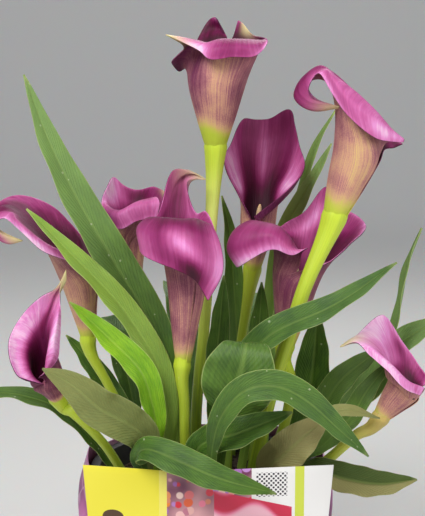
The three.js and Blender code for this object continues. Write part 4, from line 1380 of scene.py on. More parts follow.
@dataclass(frozen=True)
class CardFinish(Finish):
    """The card's print: a yellow panel with a disc, a panel of coloured dots, waves and white panels.

    Its sizes are in millimetres, across the plant and above the ground.
    """

    yellow: tuple[Colour, Colour] = ((232, 220, 40), (246, 234, 84))
    white: tuple[Colour, Colour] = ((226, 224, 222), (242, 240, 238))
    shadow: tuple[Colour, Colour] = ((110, 52, 84), (226, 168, 172))
    confetti: tuple[tuple[float, Colour], ...] = (
        (0.0, (190, 140, 204)), (0.3, (158, 96, 172)), (0.45, (240, 150, 36)), (0.62, (216, 36, 66)),
        (0.8, (240, 206, 196)), (1.0, (232, 96, 140)))
    pinks: tuple[tuple[float, Colour], ...] = (
        (0.0, (206, 40, 74)), (0.5, (238, 126, 160)), (1.0, (250, 190, 206)))
    # crease is the colour of the painted highlight along the fold
    crease: Colour = (244, 232, 110)
    ink: Colour = (58, 52, 62)
    lime: Colour = (204, 214, 74)
    brown: Colour = (84, 58, 38)
    picture_left: float = -25.0
    fold_highlight_across: Numbers = (-29.0, -24.0)
    upper_across: Numbers = (30.0, 95.0)
    upper_foot: float = 121.0
    waves_across: Numbers = (6.0, 60.0)
    waves_top: float = 138.0
    waves_slope: float = 0.26
    right_across: Numbers = (56.0, 95.0)
    tile_across: Numbers = (33.0, 53.0)
    tile_up: Numbers = (131.0, 147.0)
    tile_scale: float = 2.1
    stripe_across: Numbers = (58.0, 64.0)
    disc_middle: Numbers = (-59.0, 117.0)
    disc_reach: Numbers = (7.0, 4.6)
    depth: float = 0.05

    def lay(self, board: Board) -> Look:
        """Lays the print's nodes."""
        place = board.place()
        flat = board.stretch(place, 1, 0, 1)
        x, _, z = board.parts(board.scaled(place, 1 / MM))
        yellow = board.ramp(board.noise(flat, 9.0, 1.0), list(zip((0.3, 0.7), self.yellow)))
        white = board.ramp(board.noise(flat, 12.0, 1.0), list(zip((0.3, 0.7), self.white)))
        shadow = board.ramp(board.noise(flat, 30.0, 2.0), list(zip((0.35, 0.65), self.shadow)))
        dots = board.cells(flat, 150.0, {"Randomness": 0.8})
        hue = board.node("ShaderNodeSeparateColor", {0: dots.outputs["Color"]}).outputs[0]
        confetti = board.ramp(hue, self.confetti)
        picture = board.coats(confetti, (board.span(dots.outputs["Distance"], 0.4, 0.5), shadow))
        swing = board.math("SINE", board.times(x, 0.14))
        wave = board.math("SINE", board.total((x, 0.05), (z, 0.22), (swing, 1.2)))
        waves = board.ramp(board.span(wave, -0.6, 0.6), self.pinks)
        edge = board.total((x, -self.waves_slope), start=self.waves_top)
        checks = [board.math("SINE", board.times(value, self.tile_scale)) for value in (x, z)]
        tile = board.times(board.within(x, *self.tile_across), board.within(z, *self.tile_up))
        away = [board.math("DIVIDE", board.math("SUBTRACT", value, middle), reach)
                for value, middle, reach in zip((x, z), self.disc_middle, self.disc_reach)]
        print_colour = board.coats(
            yellow,
            (board.above(x, self.picture_left), picture),
            # Painted highlight: a pale stripe by the fold.
            (board.within(x, *self.fold_highlight_across), self.crease),
            (board.times(board.within(x, *self.upper_across), board.above(z, self.upper_foot)), white),
            (board.times(board.within(x, *self.waves_across), board.below(z, edge)), waves),
            (board.within(x, *self.right_across), white),
            (board.times(tile, board.above(board.times(*checks), 0.12)), self.ink),
            (board.within(x, *self.stripe_across), self.lime),
            (board.below(board.total(*((part, part) for part in away)), 1.0), self.brown))
        normal = board.node("ShaderNodeNewGeometry").outputs["Normal"]
        colour = board.coats(white, (board.below(board.parts(normal)[1], 0.2), print_colour))
        grain = board.noise(place, 900.0, 2.0)
        return colour, board.total((grain, 0.1), start=self.roughness), grain


@dataclass
class Card:
    """The folded card: two flat panels that meet at an upright crease."""

    thickness: float = 0.7
    edge_rounding: float = 0.15
    bottom: float = 50
    top: float = 150
    left: float = -78.5
    crease: float = -15
    right: float = 83
    depth: float = 91
    left_turn: float = 0.2
    right_turn: float = 0.13
    crease_softness: float = 0.8
    taper: float = 0.1
    columns: int = 48
    rows: int = 20

    def build(self) -> bpy.types.Object:
        """The card's mesh, with a softened crease.

        Returns:
            The object.
        """

        def place(x: float, y: float) -> Vector:
            """A vertex on the card's middle surface."""
            z = lerp(self.bottom, self.top, y)
            narrow = 1 - self.taper * (self.top - z) / (self.top - self.bottom)
            if x < 0.5:
                across, turn = lerp(self.left, self.crease, 2 * x), self.left_turn
            else:
                across, turn = lerp(self.crease, self.right, 2 * x - 1), self.right_turn
            away = math.hypot(abs(across - self.crease) * narrow, self.crease_softness)
            return Vector((across * narrow, away * math.tan(turn) - self.depth, z))

        piece = grown("label_card_print", self.columns, self.rows, place)
        thicken(piece, self.thickness, rounded=False)
        edge = piece.modifiers.new("edge", "BEVEL")
        edge.width, edge.segments, edge.limit_method = self.edge_rounding * MM, 2, "ANGLE"
        return piece


# The plant: leaves 1 to 27 and blooms 1 to 9, in the order of their numbers

# A leaf's light is partly painted light and partly a paler underside; a bloom's pale is painted light on its
# stalk.
LEAVES = (
    LeafShape(
        foot=(-20, -6), width=14.5, petiole=0.12, fold=(30, 12), face=((0.3, -1, 0.1), (0.5, -0.8, 0.4)),
        shade=LeafShade(light=(0, 0.75), haze=(0.1, 0)),
        route=(
            (-19, -12, 161), (-24, -18, 194), (-39, -22, 234), (-61, -25, 273), (-86, -22, 316),
            (-107, -14, 358), (-123, -5, 400))),
    LeafShape(
        foot=(-25, -30), width=10.5, petiole=0.2, fold=(35, 20), face=((0.4, -1, 0.1), (0.5, -0.8, 0.5)),
        tone=LeafTone.LIME, shade=LeafShade(haze=(0.7, 0.5)),
        route=(
            (-24, -38, 161), (-26, -40, 186), (-34, -40, 211), (-51, -40, 239), (-67, -40, 259),
            (-92, -36, 284), (-119, -30, 311))),
    LeafShape(
        foot=(-34, -40), width=11, fold=(35, 20), face=((0.4, -1, 0.1), (0.5, -0.8, 0.4)),
        tone=LeafTone.LIME,
        route=((-33, -50, 165), (-36, -52, 186), (-43, -53, 206), (-62, -52, 226), (-89, -48, 251))),
    LeafShape(
        foot=(-38, -52), width=14, fold=(-20, -10), face=((-0.3, 1, -0.4), (0.2, 1, -0.5)),
        tone=LeafTone.OLIVE, shade=LeafShade(light=(0.1, 0.3)),
        route=((-38, -66, 160), (-49, -78, 177), (-66, -88, 190), (-82, -92, 206), (-101, -92, 217))),
    LeafShape(
        foot=(-58, -20), width=8, petiole=0.25, fold=(35, 15), face=((0.4, -0.8, 0.6), (0.2, -0.6, 1)),
        shade=LeafShade(light=(0, 0.1)),
        route=(
            (-69, -32, 140), (-82, -40, 160), (-96, -42, 175), (-114, -44, 184), (-137, -44, 188),
            (-161, -42, 182))),
    LeafShape(
        foot=(-45, 6), width=10, petiole=0.25, fold=(30, 10), face=((0.4, -1, 0.3), (0.5, -0.8, 0.5)),
        route=((-57, 14, 149), (-69, 20, 169), (-85, 24, 193), (-102, 26, 213))),
    LeafShape(
        foot=(-28, -60), width=11, fold=(25, 8), face=((-0.2, -0.8, 0.6), (0.1, -0.8, 0.8)),
        shade=LeafShade(haze=(0.15, 0)),
        route=((-42, -75, 150), (-37, -90, 164), (-18, -101, 161), (9, -110, 152), (44, -114, 144))),
    LeafShape(
        foot=(-8, -48), width=12, fold=(25, 8), face=((-0.2, -0.9, 0.5), (-0.2, -0.8, 0.7)),
        route=((-6, -58, 150), (2, -64, 161), (20, -74, 169), (37, -78, 177), (56, -78, 185))),
    LeafShape(
        foot=(4, -62), width=11, fold=(30, 15), face=((-0.3, -0.9, 0.4), (0.3, -0.9, 0.6)),
        shade=LeafShade(light=(0.1, 0), haze=(0, 0.15)),
        route=(
            (5, -80, 160), (11, -90, 186), (25, -94, 203), (44, -94, 206), (63, -94, 197),
            (85, -92, 177), (104, -88, 159))),
    LeafShape(
        foot=(40, -46), width=14, fold=(-15, -8), face=((0.2, 1, -0.4), (0.3, 1, -0.4)),
        tone=LeafTone.OLIVE, shade=LeafShade(light=(0.5, 0.8)),
        route=((44, -58, 142), (51, -64, 151), (62, -68, 163), (80, -70, 180))),
    LeafShape(
        foot=(50, -38), width=6, fold=(-20, -10), face=((0, 1, -0.6), (0, 1, -0.8)), tone=LeafTone.OLIVE,
        shade=LeafShade(light=(0.4, 0.4)),
        route=((60, -50, 147), (71, -52, 165), (84, -54, 177), (97, -54, 179), (116, -52, 173))),
    LeafShape(
        foot=(56, -27), width=12, fold=(20, 8), face=((0, -0.8, 0.8), (0, -0.8, 0.8)),
        tone=LeafTone.OLIVE, shade=LeafShade(haze=(1, 0.9), flank=0.5),
        route=((64, -35, 131), (76, -44, 135), (94, -52, 131), (117, -56, 129), (141, -58, 133))),
    LeafShape(
        foot=(14, 34), width=9, petiole=0.2, fold=(30, 15), face=((0, -1, 0), (0.4, -1, 0.2)),
        shade=LeafShade(light=(0.3, 0.1)),
        route=((22, 42, 164), (23, 44, 205), (21, 44, 239), (18, 42, 283), (12, 38, 314))),
    LeafShape(
        foot=(44, 48), width=5.5, fold=(30, 15), face=((-0.3, -1, 0.2), (-0.6, -1, 0.3)),
        tone=LeafTone.LIME, shade=LeafShade(light=(0.5, 0.9)),
        route=((50, 66, 180), (55, 75, 226), (63, 77, 268), (73, 71, 313), (81, 62, 347), (95, 50, 376))),
    LeafShape(
        foot=(13, -21), width=11, petiole=0.2, fold=(30, 15),
        face=((-0.4, -0.9, 0.3), (-0.4, -0.8, 0.6)), shade=LeafShade(haze=(0, 0.2)),
        route=(
            (17, -28, 163), (20, -38, 190), (28, -46, 212), (46, -50, 231), (78, -56, 247),
            (98, -56, 259), (125, -52, 278))),
    LeafShape(
        foot=(60, 4), width=6, fold=(30, 15), face=((-1, -0.3, 0.4), (-1, -0.3, 0.4)),
        shade=LeafShade(light=(0.5, 0.7)),
        route=(
            (72, 5, 137), (84, 6, 146), (101, 8, 158), (120, 8, 180), (132, 8, 206), (139, 8, 243),
            (143, 8, 268), (152, 8, 294))),
    LeafShape(
        foot=(58, 16), width=13, fold=(25, 10), face=((-0.6, -0.8, 0.5), (-0.4, -0.8, 0.7)),
        shade=LeafShade(light=(0.2, 0.6)),
        route=(
            (72, 19, 137), (84, 20, 143), (101, 22, 155), (119, 24, 172), (136, 26, 199), (156, 26, 216),
            (180, 22, 227))),
    LeafShape(
        foot=(56, -4), width=11, fold=(25, 10), face=((-0.5, -0.9, 0.4), (-0.4, -0.9, 0.6)),
        shade=LeafShade(light=(0.2, 0.25)),
        route=((80, -4, 158), (87, -6, 174), (96, -8, 188), (107, -8, 198), (125, -8, 212))),
    LeafShape(
        foot=(58, -11), width=9, fold=(25, 10), face=((-0.5, -0.9, 0.4), (-0.4, -0.9, 0.5)),
        shade=LeafShade(light=(0.3, 0.1)),
        route=((72, -14, 136), (83, -17, 144), (102, -22, 167), (112, -22, 184), (129, -18, 205))),
    LeafShape(
        foot=(48, 24), width=14, fold=(25, 10), face=((-0.2, -1, 0.1), (-0.2, -1, 0.2)),
        route=((72, 28, 148), (77, 30, 171), (80, 30, 197), (82, 30, 229))),
    LeafShape(
        foot=(26, 10), width=10, fold=(25, 12), face=((0, -1, 0), (0.2, -1, 0.2)),
        route=((32, 8, 154), (35, 8, 184), (38, 8, 220), (40, 8, 255))),
    LeafShape(
        foot=(2, -10), width=9, fold=(25, 12), face=((0.2, -1, 0), (0.2, -1, 0.2)),
        route=((6, -6, 158), (7, -8, 195), (10, -8, 228), (13, -6, 262))),
    LeafShape(
        foot=(34, 50), width=8, petiole=0.4, fold=(30, 15), face=((-0.3, -1, 0.2), (-0.6, -1, 0.3)),
        tone=LeafTone.LIME, shade=LeafShade(light=(0.5, 1)),
        route=((40, 59, 180), (49, 60, 232), (58, 58, 280), (71, 52, 310), (81, 44, 330), (91, 38, 352))),
    LeafShape(
        foot=(-12, 58), width=13, petiole=0.25, fold=(30, 12), face=((0, -0.8, 0.6), (0, 0.1, 1)),
        route=((-14, 70, 160), (-18, 92, 205), (-26, 130, 232), (-34, 172, 222))),
    LeafShape(
        foot=(-48, 40), width=12, petiole=0.25, fold=(30, 12), face=((0.2, -0.7, 0.7), (-0.2, 0.2, 1)),
        route=((-56, 52, 155), (-66, 74, 190), (-80, 104, 208), (-98, 132, 200))),
    LeafShape(
        foot=(20, 62), width=12, petiole=0.25, fold=(30, 12), face=((0, -0.8, 0.6), (0, 0.1, 1)),
        route=((26, 78, 160), (34, 104, 200), (46, 142, 220), (60, 178, 206))),
    LeafShape(
        foot=(8, -29), width=25, petiole=0.55, fold=(10, 6), face=((0, -1, 0), (0, 0, 0.3)),
        shade=LeafShade(light=(0.1, 0.1)),
        route=(
            (13, -48, 160), (18, -60, 180), (21, -67, 198), (24, -69, 213), (26, -66, 223),
            (27, -60, 226), (27, -53, 222))),
)

BLOOMS = (
    BloomShape(
        foot=(-6, 12), stem=((-7, 4, 148), (-5, 6, 184), (0, 8, 234)), base=(7, 10, 350),
        axis=(0.03, -0.04, 1), back=(-0.75, -0.65, 0), radius=(4, 8.2), tube=((20, 13.2), (45, 20)),
        lips=(
            Lip(-1, ((11, 17, 74), (13, 20, 79), (16, 20, 89))),
            Lip(-0.88, ((19, 12, 74), (19, 15, 79), (19, 17, 87))),
            Lip(-0.8, ((25, 6, 70), (27, 8, 76), (26, 9, 78))),
            Lip(-0.7, ((30, -2, 67), (34, -4, 74), (36, -12, 73))),
            Lip(-0.5, ((25, -18, 64), (23, -18, 73), (24, -28, 68), (26, -28, 61))),
            Lip(-0.38, ((14, -21, 66), (13, -22, 73), (12, -31, 68), (10, -31, 61))),
            Lip(-0.25, ((4, -21, 67), (3, -22, 73), (-1, -32, 67), (-4, -32, 59))),
            Lip(-0.12, ((-5, -19, 70), (-8, -24, 70), (-12, -26, 66))),
            Lip(0, ((-8, -14, 70), (-20, -20, 74), (-34, -25, 76))),
            Lip(0.12, ((-12, -6, 70), (-17, -8, 71), (-21, -10, 68))),
            Lip(0.2, ((-19, -2, 63), (-24, -4, 64), (-30, -6, 59))),
            Lip(0.3, ((-22, 2, 58), (-25, 2, 59), (-29, 0, 56))),
            Lip(0.4, ((-20, 10, 55), (-21, 11, 55), (-24, 10, 53))),
            Lip(0.5, ((-9, 15, 72), (-9, 22, 80), (-5, 25, 89))),
            Lip(0.75, ((0, 21, 76), (3, 25, 84), (0, 20, 91))),
            Lip(1, ((9, 21, 75), (8, 24, 78), (5, 24, 80)))),
        tones=BloomTones(
            inside=(
                Spot(-0.32, 0.78, 0.2, 0.3, 0.4), Spot(-0.12, 0.95, 0.14, 0.3, 1),
                Spot(-0.56, 0.85, 0.2, 0.2, 0.64), Spot(0.3, 0.8, 0.2, 0.3, 0.26),
                Spot(0.58, 0.8, 0.25, 0.35, 0.2), Spot(-0.95, 0.6, 0.3, 0.3, 0.15),
                Spot(0.74, 1, 0.1, 0.14, 0.85), Spot(-0.62, 0.98, 0.1, 0.1, 0.96)),
            outside=(
                Spot(0.25, 0.65, 0.2, 0.3, 0.84), Spot(0.02, 0.35, 0.16, 0.35, 0.66),
                Spot(-0.55, 0.4, 0.18, 0.34, 0.66), Spot(-0.28, 0.25, 0.12, 0.35, 0.36),
                Spot(-0.28, 0.55, 0.12, 0.2, 0.42)),
            tips=(Spot(0, 1, 0.08, 0.2, 1), Spot(-0.85, 1, 0.05, 0.3, 0.9)), shade=0.06, base=0.04,
            # pale: painted light on the stalk
            pale=1)),
    BloomShape(
        foot=(32, -22), stem=((42, -30, 172), (50, -35, 204), (59, -36, 234), (68, -35, 262)),
        base=(86, -30, 305), axis=(0.34, 0, 1), back=(-1, 0, 0.3), radius=(4.8, 8.8),
        tube=((25, 12.6), (46, 16)),
        lips=(
            Lip(-1, ((34, -3, 50), (41, -3, 51), (45, -6, 52), (44, -8, 50))),
            Lip(-0.75, ((22, -13, 60), (28, -12, 67), (23, -21, 66), (24, -21, 53))),
            Lip(-0.5, ((10, -17, 70), (12, -16, 82), (6, -25, 78), (9, -24, 64))),
            Lip(-0.28, ((3, -14, 75), (0, -13, 91), (-5, -19, 93), (-4, -21, 80))),
            Lip(-0.2, ((2, -11, 75), (-2, -9, 93), (-7, -11, 97), (-13, -13, 95))),
            Lip(-0.12, ((1, -6, 74), (-3, -4, 92), (-11, -6, 100), (-19, -8, 93), (-19, -10, 81))),
            Lip(
                0,
                (
                    (0, 1, 74), (-4, 3, 88), (-11, 3, 96), (-23, 1, 91), (-28, -2, 79), (-16, -6, 70),
                    (5, -8, 73))),
            Lip(0.12, ((1, 8, 74), (-1, 11, 86), (-9, 13, 93), (-19, 13, 90), (-26, 10, 81))),
            Lip(0.2, ((2, 11, 75), (0, 14, 91), (-8, 17, 99), (-16, 17, 96), (-20, 16, 91))),
            Lip(0.28, ((4, 15, 75), (1, 18, 93), (-6, 22, 100), (-12, 23, 97))),
            Lip(0.5, ((14, 17, 70), (18, 21, 80), (22, 27, 75))),
            Lip(0.75, ((27, 16, 57), (34, 20, 62), (40, 24, 56))),
            Lip(1, ((34, 3, 45), (40, 3, 46), (45, 0, 49)))),
        tones=BloomTones(
            inside=(
                Spot(-0.5, 0.75, 0.35, 0.3, 0.76), Spot(-0.75, 0.85, 0.3, 0.3, 0.76),
                Spot(0, 0.6, 0.1, 0.15, 0.15), Spot(-0.05, 0.8, 0.1, 0.1, 0.3),
                Spot(-0.05, 0.92, 0.1, 0.12, 0.6), Spot(0.98, 0.79, 0.2, 0.2, 0.3),
                Spot(-0.83, 0.9, 0.16, 0.1, 0.96), Spot(-0.27, 0.98, 0.14, 0.08, 0.9)),
            outside=(Spot(-0.5, 0.25, 0.16, 0.3, 0.34), Spot(0.9, 0.5, 0.3, 0.3, 0.9)),
            tips=(Spot(0, 1, 0.05, 0.07, 1),), blush=(Spot(-0.05, 0.82, 0.2, 0.2, 0.75),), shade=0.08,
            base=0.015)),
    BloomShape(
        foot=(16, 18), stem=((18, 20, 150), (26, 26, 208)), base=(34, 33, 260), axis=(0.11, -0.1, 1),
        back=(0.1, 1, 0), radius=(3.4, 7), tube=((16, 8.5), (30, 12)), wrap=(1.25, 1.05, 1.25, 1.05),
        reach=1.65,
        lips=(
            Lip(-1, ((-1, -13, 34), (-1, -14, 38), (-3, -16, 43))),
            Lip(-0.75, ((-6, -13, 45), (-9, -17, 54), (-13, -20, 61))),
            Lip(-0.5, ((-9, -3, 53), (-16, -7, 68), (-21, -9, 80))),
            Lip(-0.36, ((-6, 5, 55), (-11, 5, 76), (-15, 7, 93))),
            Lip(-0.25, ((-3, 12, 56), (-7, 15, 80), (-8, 19, 96), (-6, 23, 110))),
            Lip(-0.1, ((2, 16, 57), (1, 20, 81), (2, 24, 95), (3, 28, 109))),
            Lip(0.08, ((9, 17, 57), (11, 22, 79), (13, 27, 95), (14, 31, 110))),
            Lip(0.22, ((14, 15, 57), (22, 18, 79), (27, 22, 100), (28, 23, 117))),
            Lip(0.3, ((16, 11, 56), (26, 11, 75), (30, 13, 93), (31, 14, 106))),
            Lip(0.4, ((18, 5, 55), (29, 3, 74), (34, 3, 90))),
            Lip(0.5, ((20, -1, 53), (31, -6, 65), (37, -9, 76))),
            Lip(0.75, ((12, -13, 45), (20, -18, 52), (26, -21, 62))),
            Lip(1, ((3, -16, 33), (2, -18, 37), (0, -19, 41)))),
        tones=BloomTones(
            inside=(
                # Spot(0.03, 0.62, ...) is a painted highlight down the middle of the inside.
                Spot(0, 0.92, 0.8, 0.4, 0.46), Spot(0.03, 0.62, 0.1, 0.36, 0.9),
                Spot(-0.44, 0.86, 0.12, 0.3, 0.95), Spot(0.42, 0.86, 0.12, 0.26, 0.66),
                Spot(-0.43, 0.52, 0.12, 0.28, 1), Spot(0.46, 0.55, 0.1, 0.28, 1),
                Spot(0, 0.3, 0.3, 0.14, 0.06)), tips=())),
    BloomShape(
        foot=(46, 4), stem=((58, 4, 157), (61, 4, 184)), base=(57, 4, 209), axis=(0.14, 0, 1),
        back=(0.5, 1, 0), radius=(3.8, 7.2), tube=((26, 12), (50, 17)),
        lips=(
            Lip(-1, ((8, -18, 61), (9, -22, 70), (13, -28, 75))),
            Lip(-0.88, ((3, -18, 68), (1, -22, 81), (-1, -30, 76), (2, -30, 70))),
            Lip(-0.75, ((-3, -18, 71), (-7, -21, 89), (-12, -30, 84), (-12, -30, 74))),
            Lip(-0.5, ((-10, -2, 74), (-23, -4, 91), (-38, -12, 85), (-43, -16, 72), (-36, -18, 59))),
            Lip(-0.25, ((2, 18, 75), (1, 22, 80), (-3, 22, 84))),
            Lip(-0.1, ((14, 24, 74), (15, 28, 85), (15, 30, 94))),
            Lip(0, ((20, 26, 74), (24, 32, 87), (27, 35, 99), (31, 36, 112))),
            Lip(0.12, ((27, 24, 71), (35, 30, 85), (41, 33, 96))),
            Lip(0.25, ((33, 20, 68), (43, 26, 81), (50, 28, 93))),
            Lip(0.5, ((34, 4, 63), (44, 8, 73), (51, 11, 80), (58, 12, 85))),
            Lip(0.65, ((29, -6, 61), (36, -5, 67), (44, -4, 74))),
            Lip(0.82, ((21, -14, 59), (25, -16, 62), (30, -16, 64))),
            Lip(1, ((13, -21, 60), (16, -25, 65), (20, -28, 62)))),
        tones=BloomTones(
            inside=(
                Spot(-0.59, 0.8, 0.2, 0.25, 0.52), Spot(-0.58, 0.99, 0.3, 0.08, 0.98),
                # Spot(-0.04, 0.6, ...) is a painted highlight on the back of the inside.
                Spot(-0.1, 0.75, 0.16, 0.4, 0.58), Spot(-0.04, 0.6, 0.14, 0.26, 1),
                Spot(0.3, 0.75, 0.14, 0.2, 0.62), Spot(0.3, 0.47, 0.3, 0.14, 0.12),
                Spot(0.6, 0.98, 0.2, 0.1, 0.97), Spot(0.5, 0.6, 0.2, 0.2, 0.3),
                Spot(-0.88, 0.96, 0.15, 0.12, 0.9)), tips=(), shade=0.24)),
    BloomShape(
        foot=(-44, -8), stem=((-54, 0, 150), (-70, 4, 182)), base=(-83, 5, 213), axis=(-0.13, 0, 1),
        back=(-1, -0.1, -0.3), radius=(3.2, 6), tube=((24, 9), (46, 13.5)),
        lips=(
            Lip(-1, ((7, -3, 44), (11, -5, 50), (14, -8, 52))),
            Lip(-0.75, ((-1, -14, 52), (-5, -18, 62), (-9, -24, 64), (-10, -26, 61))),
            Lip(-0.5, ((-16, -16, 59), (-22, -22, 70), (-28, -28, 75), (-27, -32, 69))),
            Lip(-0.25, ((-29, -12, 70), (-39, -18, 83), (-45, -24, 89), (-42, -27, 82))),
            Lip(-0.13, ((-31, -3, 72), (-45, -5, 88), (-52, -9, 93), (-57, -11, 89))),
            Lip(-0.06, ((-33, 0, 73), (-47, 0, 91), (-59, -3, 93), (-66, -5, 88), (-66, -6, 82))),
            Lip(
                0,
                (
                    (-34, 3, 75), (-49, 5, 92), (-61, 3, 96), (-68, 0, 87), (-64, -3, 75), (-54, -5, 70),
                    (-43, -7, 73))),
            Lip(0.06, ((-34, 7, 77), (-49, 10, 94), (-62, 8, 98), (-69, 5, 90), (-68, 1, 84))),
            Lip(0.13, ((-33, 11, 78), (-48, 14, 96), (-59, 13, 100), (-66, 10, 96))),
            Lip(0.25, ((-32, 17, 81), (-42, 20, 95), (-51, 19, 103))),
            Lip(0.5, ((-18, 21, 73), (-23, 28, 85), (-28, 31, 93))),
            Lip(0.75, ((-4, 17, 57), (-5, 23, 65), (-7, 27, 72))),
            Lip(1, ((6, 2, 45), (9, 7, 50), (10, 11, 55)))),
        tones=BloomTones(
            inside=(
                Spot(-0.4, 0.97, 0.35, 0.16, 1), Spot(0.2, 0.8, 0.2, 0.3, 0.7),
                Spot(0.8, 0.65, 0.25, 0.3, 0.1), Spot(0, 0.5, 0.5, 0.2, 0.3)),
            tips=(Spot(0, 1, 0.06, 0.08, 1),), blush=(Spot(0, 0.85, 0.12, 0.2, 0.6),), shade=0.02)),
    BloomShape(
        foot=(-50, -38), stem=((-65, -54, 153), (-85, -60, 178)), base=(-96, -60, 189),
        axis=(-0.3, -0.45, 0.8), back=(0.4, 0.5, 0.75), radius=(3, 6.2), tube=((10, 7), (20, 11)),
        lips=(
            Lip(-1, ((-6, -18, 13), (-9, -26, 17), (-13, -28, 19))),
            Lip(-0.75, ((-13, -23, 22), (-18, -28, 21), (-21, -32, 24))),
            Lip(-0.5, ((-16, -18, 34), (-23, -23, 38), (-27, -27, 41))),
            Lip(-0.25, ((-13, -10, 45), (-19, -14, 53), (-23, -16, 54))),
            Lip(-0.12, ((-10, -6, 48), (-9, -8, 61), (-8, -9, 70))),
            Lip(-0.05, ((-9, -4, 48), (-5, -4, 62), (-2, -4, 70), (1, -5, 74))),
            Lip(0, ((-7, -2, 47), (-3, 0, 63), (1, 0, 73), (6, -1, 77), (7, -2, 86))),
            Lip(0.05, ((-6, -3, 46), (-1, -3, 61), (2, -3, 69), (3, -4, 73))),
            Lip(0.12, ((-4, -5, 45), (0, -6, 59), (3, -6, 67))),
            Lip(0.25, ((-3, -12, 40), (0, -18, 52), (3, -16, 58), (4, -10, 56))),
            Lip(0.5, ((-3, -18, 33), (-1, -26, 42), (2, -25, 46), (4, -17, 42))),
            Lip(0.75, ((-4, -20, 24), (-3, -27, 32), (1, -27, 35), (3, -21, 31))),
            Lip(1, ((-5, -20, 15), (-6, -26, 20), (-8, -30, 21)))),
        tones=BloomTones(
            inside=(
                Spot(-0.44, 0.86, 0.5, 0.4, 1), Spot(-0.25, 0.55, 0.3, 0.25, 1),
                Spot(0.5, 0.75, 0.45, 0.35, 1), Spot(-0.6, 0.36, 0.4, 0.12, 0.2),
                Spot(0, 0.8, 0.1, 0.2, 0.86), Spot(-0.83, 0.62, 0.2, 0.2, 0.95)),
            tips=(Spot(0, 1, 0.06, 0.24, 1),), shade=0.3)),
    BloomShape(
        foot=(-13, -28), stem=((-14, -38, 154), (-14, -43, 182)), base=(-15, -45, 207),
        axis=(0.04, 0, 1), back=(0.05, 1, 0), radius=(3.4, 6), tube=((26, 8.6), (58, 13)),
        wrap=(1.4, 1.3, 0.85, 0.8),
        lips=(
            Lip(-1, ((12, -19, 78), (18, -17, 97), (24, -25, 89), (27, -30, 69), (17, -33, 49))),
            Lip(-0.87, ((6, -22, 80), (8, -21, 101), (10, -37, 93), (12, -40, 76), (9, -38, 64))),
            Lip(-0.75, ((-1, -22, 81), (-2, -22, 101), (-4, -35, 92), (-2, -37, 70))),
            Lip(-0.5, ((-14, -5, 84), (-21, -4, 100), (-29, -9, 94), (-27, -15, 79))),
            Lip(-0.25, ((-13, 17, 84), (-15, 21, 96), (-16, 23, 101))),
            Lip(-0.1, ((-7, 23, 83), (-10, 29, 100), (-8, 33, 115), (-6, 33, 130))),
            Lip(
                0,
                ((-3, 26, 83), (-4, 32, 100), (-2, 36, 115), (1, 36, 129), (8, 32, 127), (16, 28, 122))),
            Lip(0.1, ((1, 23, 83), (3, 29, 100), (3, 33, 112), (3, 33, 122))),
            Lip(0.18, ((5, 21, 84), (7, 24, 93), (9, 25, 100))),
            Lip(0.25, ((9, 17, 84), (12, 18, 95), (16, 19, 102))),
            Lip(0.5, ((14, 3, 79), (18, 2, 91), (22, -1, 85), (25, -5, 72))),
            Lip(0.75, ((12, -9, 71), (16, -11, 82), (20, -15, 75), (23, -19, 59))),
            Lip(1, ((4, -12, 71), (6, -12, 78), (8, -12, 82)))),
        tones=BloomTones(
            inside=(
                # Spot(-0.8, 0.85, ...) is a painted highlight on the rolled front lobe.
                Spot(-0.72, 0.7, 0.35, 0.3, 0.28), Spot(-0.8, 0.85, 0.11, 0.12, 1),
                Spot(-0.55, 0.93, 0.1, 0.2, 0.8), Spot(0.05, 0.8, 0.14, 0.35, 0.8),
                # Spot(-0.86, 0.97, ...) is painted shade in the fold at the lip's margin.
                Spot(-0.08, 0.58, 0.16, 0.16, 0.34), Spot(-0.86, 0.97, 0.12, 0.09, 0.05),
                Spot(-0.98, 0.84, 0.07, 0.2, 0.9), Spot(-0.1, 0.92, 0.05, 0.3, 0.5)),
            tips=(Spot(0, 1, 0.07, 0.2, 0.8),), blush=(Spot(0.05, 0.85, 0.2, 0.2, 0.4),), shade=0.2)),
    BloomShape(
        foot=(-34, 34), stem=((-37, 36, 154), (-46, 42, 190)), base=(-55, 45, 232), axis=(-0.05, 0, 1),
        back=(-0.5, 1, 0), radius=(3.6, 6.6), tube=((28, 9), (50, 12.5)),
        lips=(
            Lip(-1, ((13, -15, 64), (19, -20, 82), (23, -28, 79), (21, -28, 69))),
            Lip(-0.83, ((5, -16, 62), (7, -22, 79), (4, -30, 76), (7, -30, 66))),
            Lip(-0.67, ((-5, -17, 61), (-5, -24, 73), (-9, -30, 70), (-6, -31, 60))),
            Lip(-0.33, ((-14, -1, 67), (-18, -3, 76), (-21, -7, 75))),
            Lip(-0.15, ((-12, 7, 67), (-16, 9, 78), (-18, 11, 89))),
            Lip(0, ((-9, 13, 68), (-12, 18, 80), (-14, 20, 94))),
            Lip(0.15, ((-4, 15, 67), (-5, 21, 77), (-6, 23, 87))),
            Lip(0.33, ((1, 17, 66), (2, 22, 75), (3, 24, 84))),
            Lip(0.55, ((9, 11, 66), (12, 17, 77), (15, 17, 87))),
            Lip(0.75, ((15, 1, 65), (21, 1, 76), (26, -1, 83))),
            Lip(1, ((16, -11, 60), (22, -15, 71), (25, -18, 73)))),
        tones=BloomTones(
            inside=(
                Spot(-0.12, 0.82, 0.26, 0.4, 1), Spot(0.4, 0.78, 0.2, 0.2, 0.2),
                Spot(-0.83, 0.85, 0.25, 0.2, 0.8), Spot(0.75, 0.85, 0.2, 0.3, 0.5)),
            tips=(Spot(0.75, 1, 0.08, 0.1, 0.7),), shade=0.08)),
    BloomShape(
        foot=(50, -18), stem=((70, -29, 131), (82, -34, 137), (102, -39, 157)), base=(118, -40, 170),
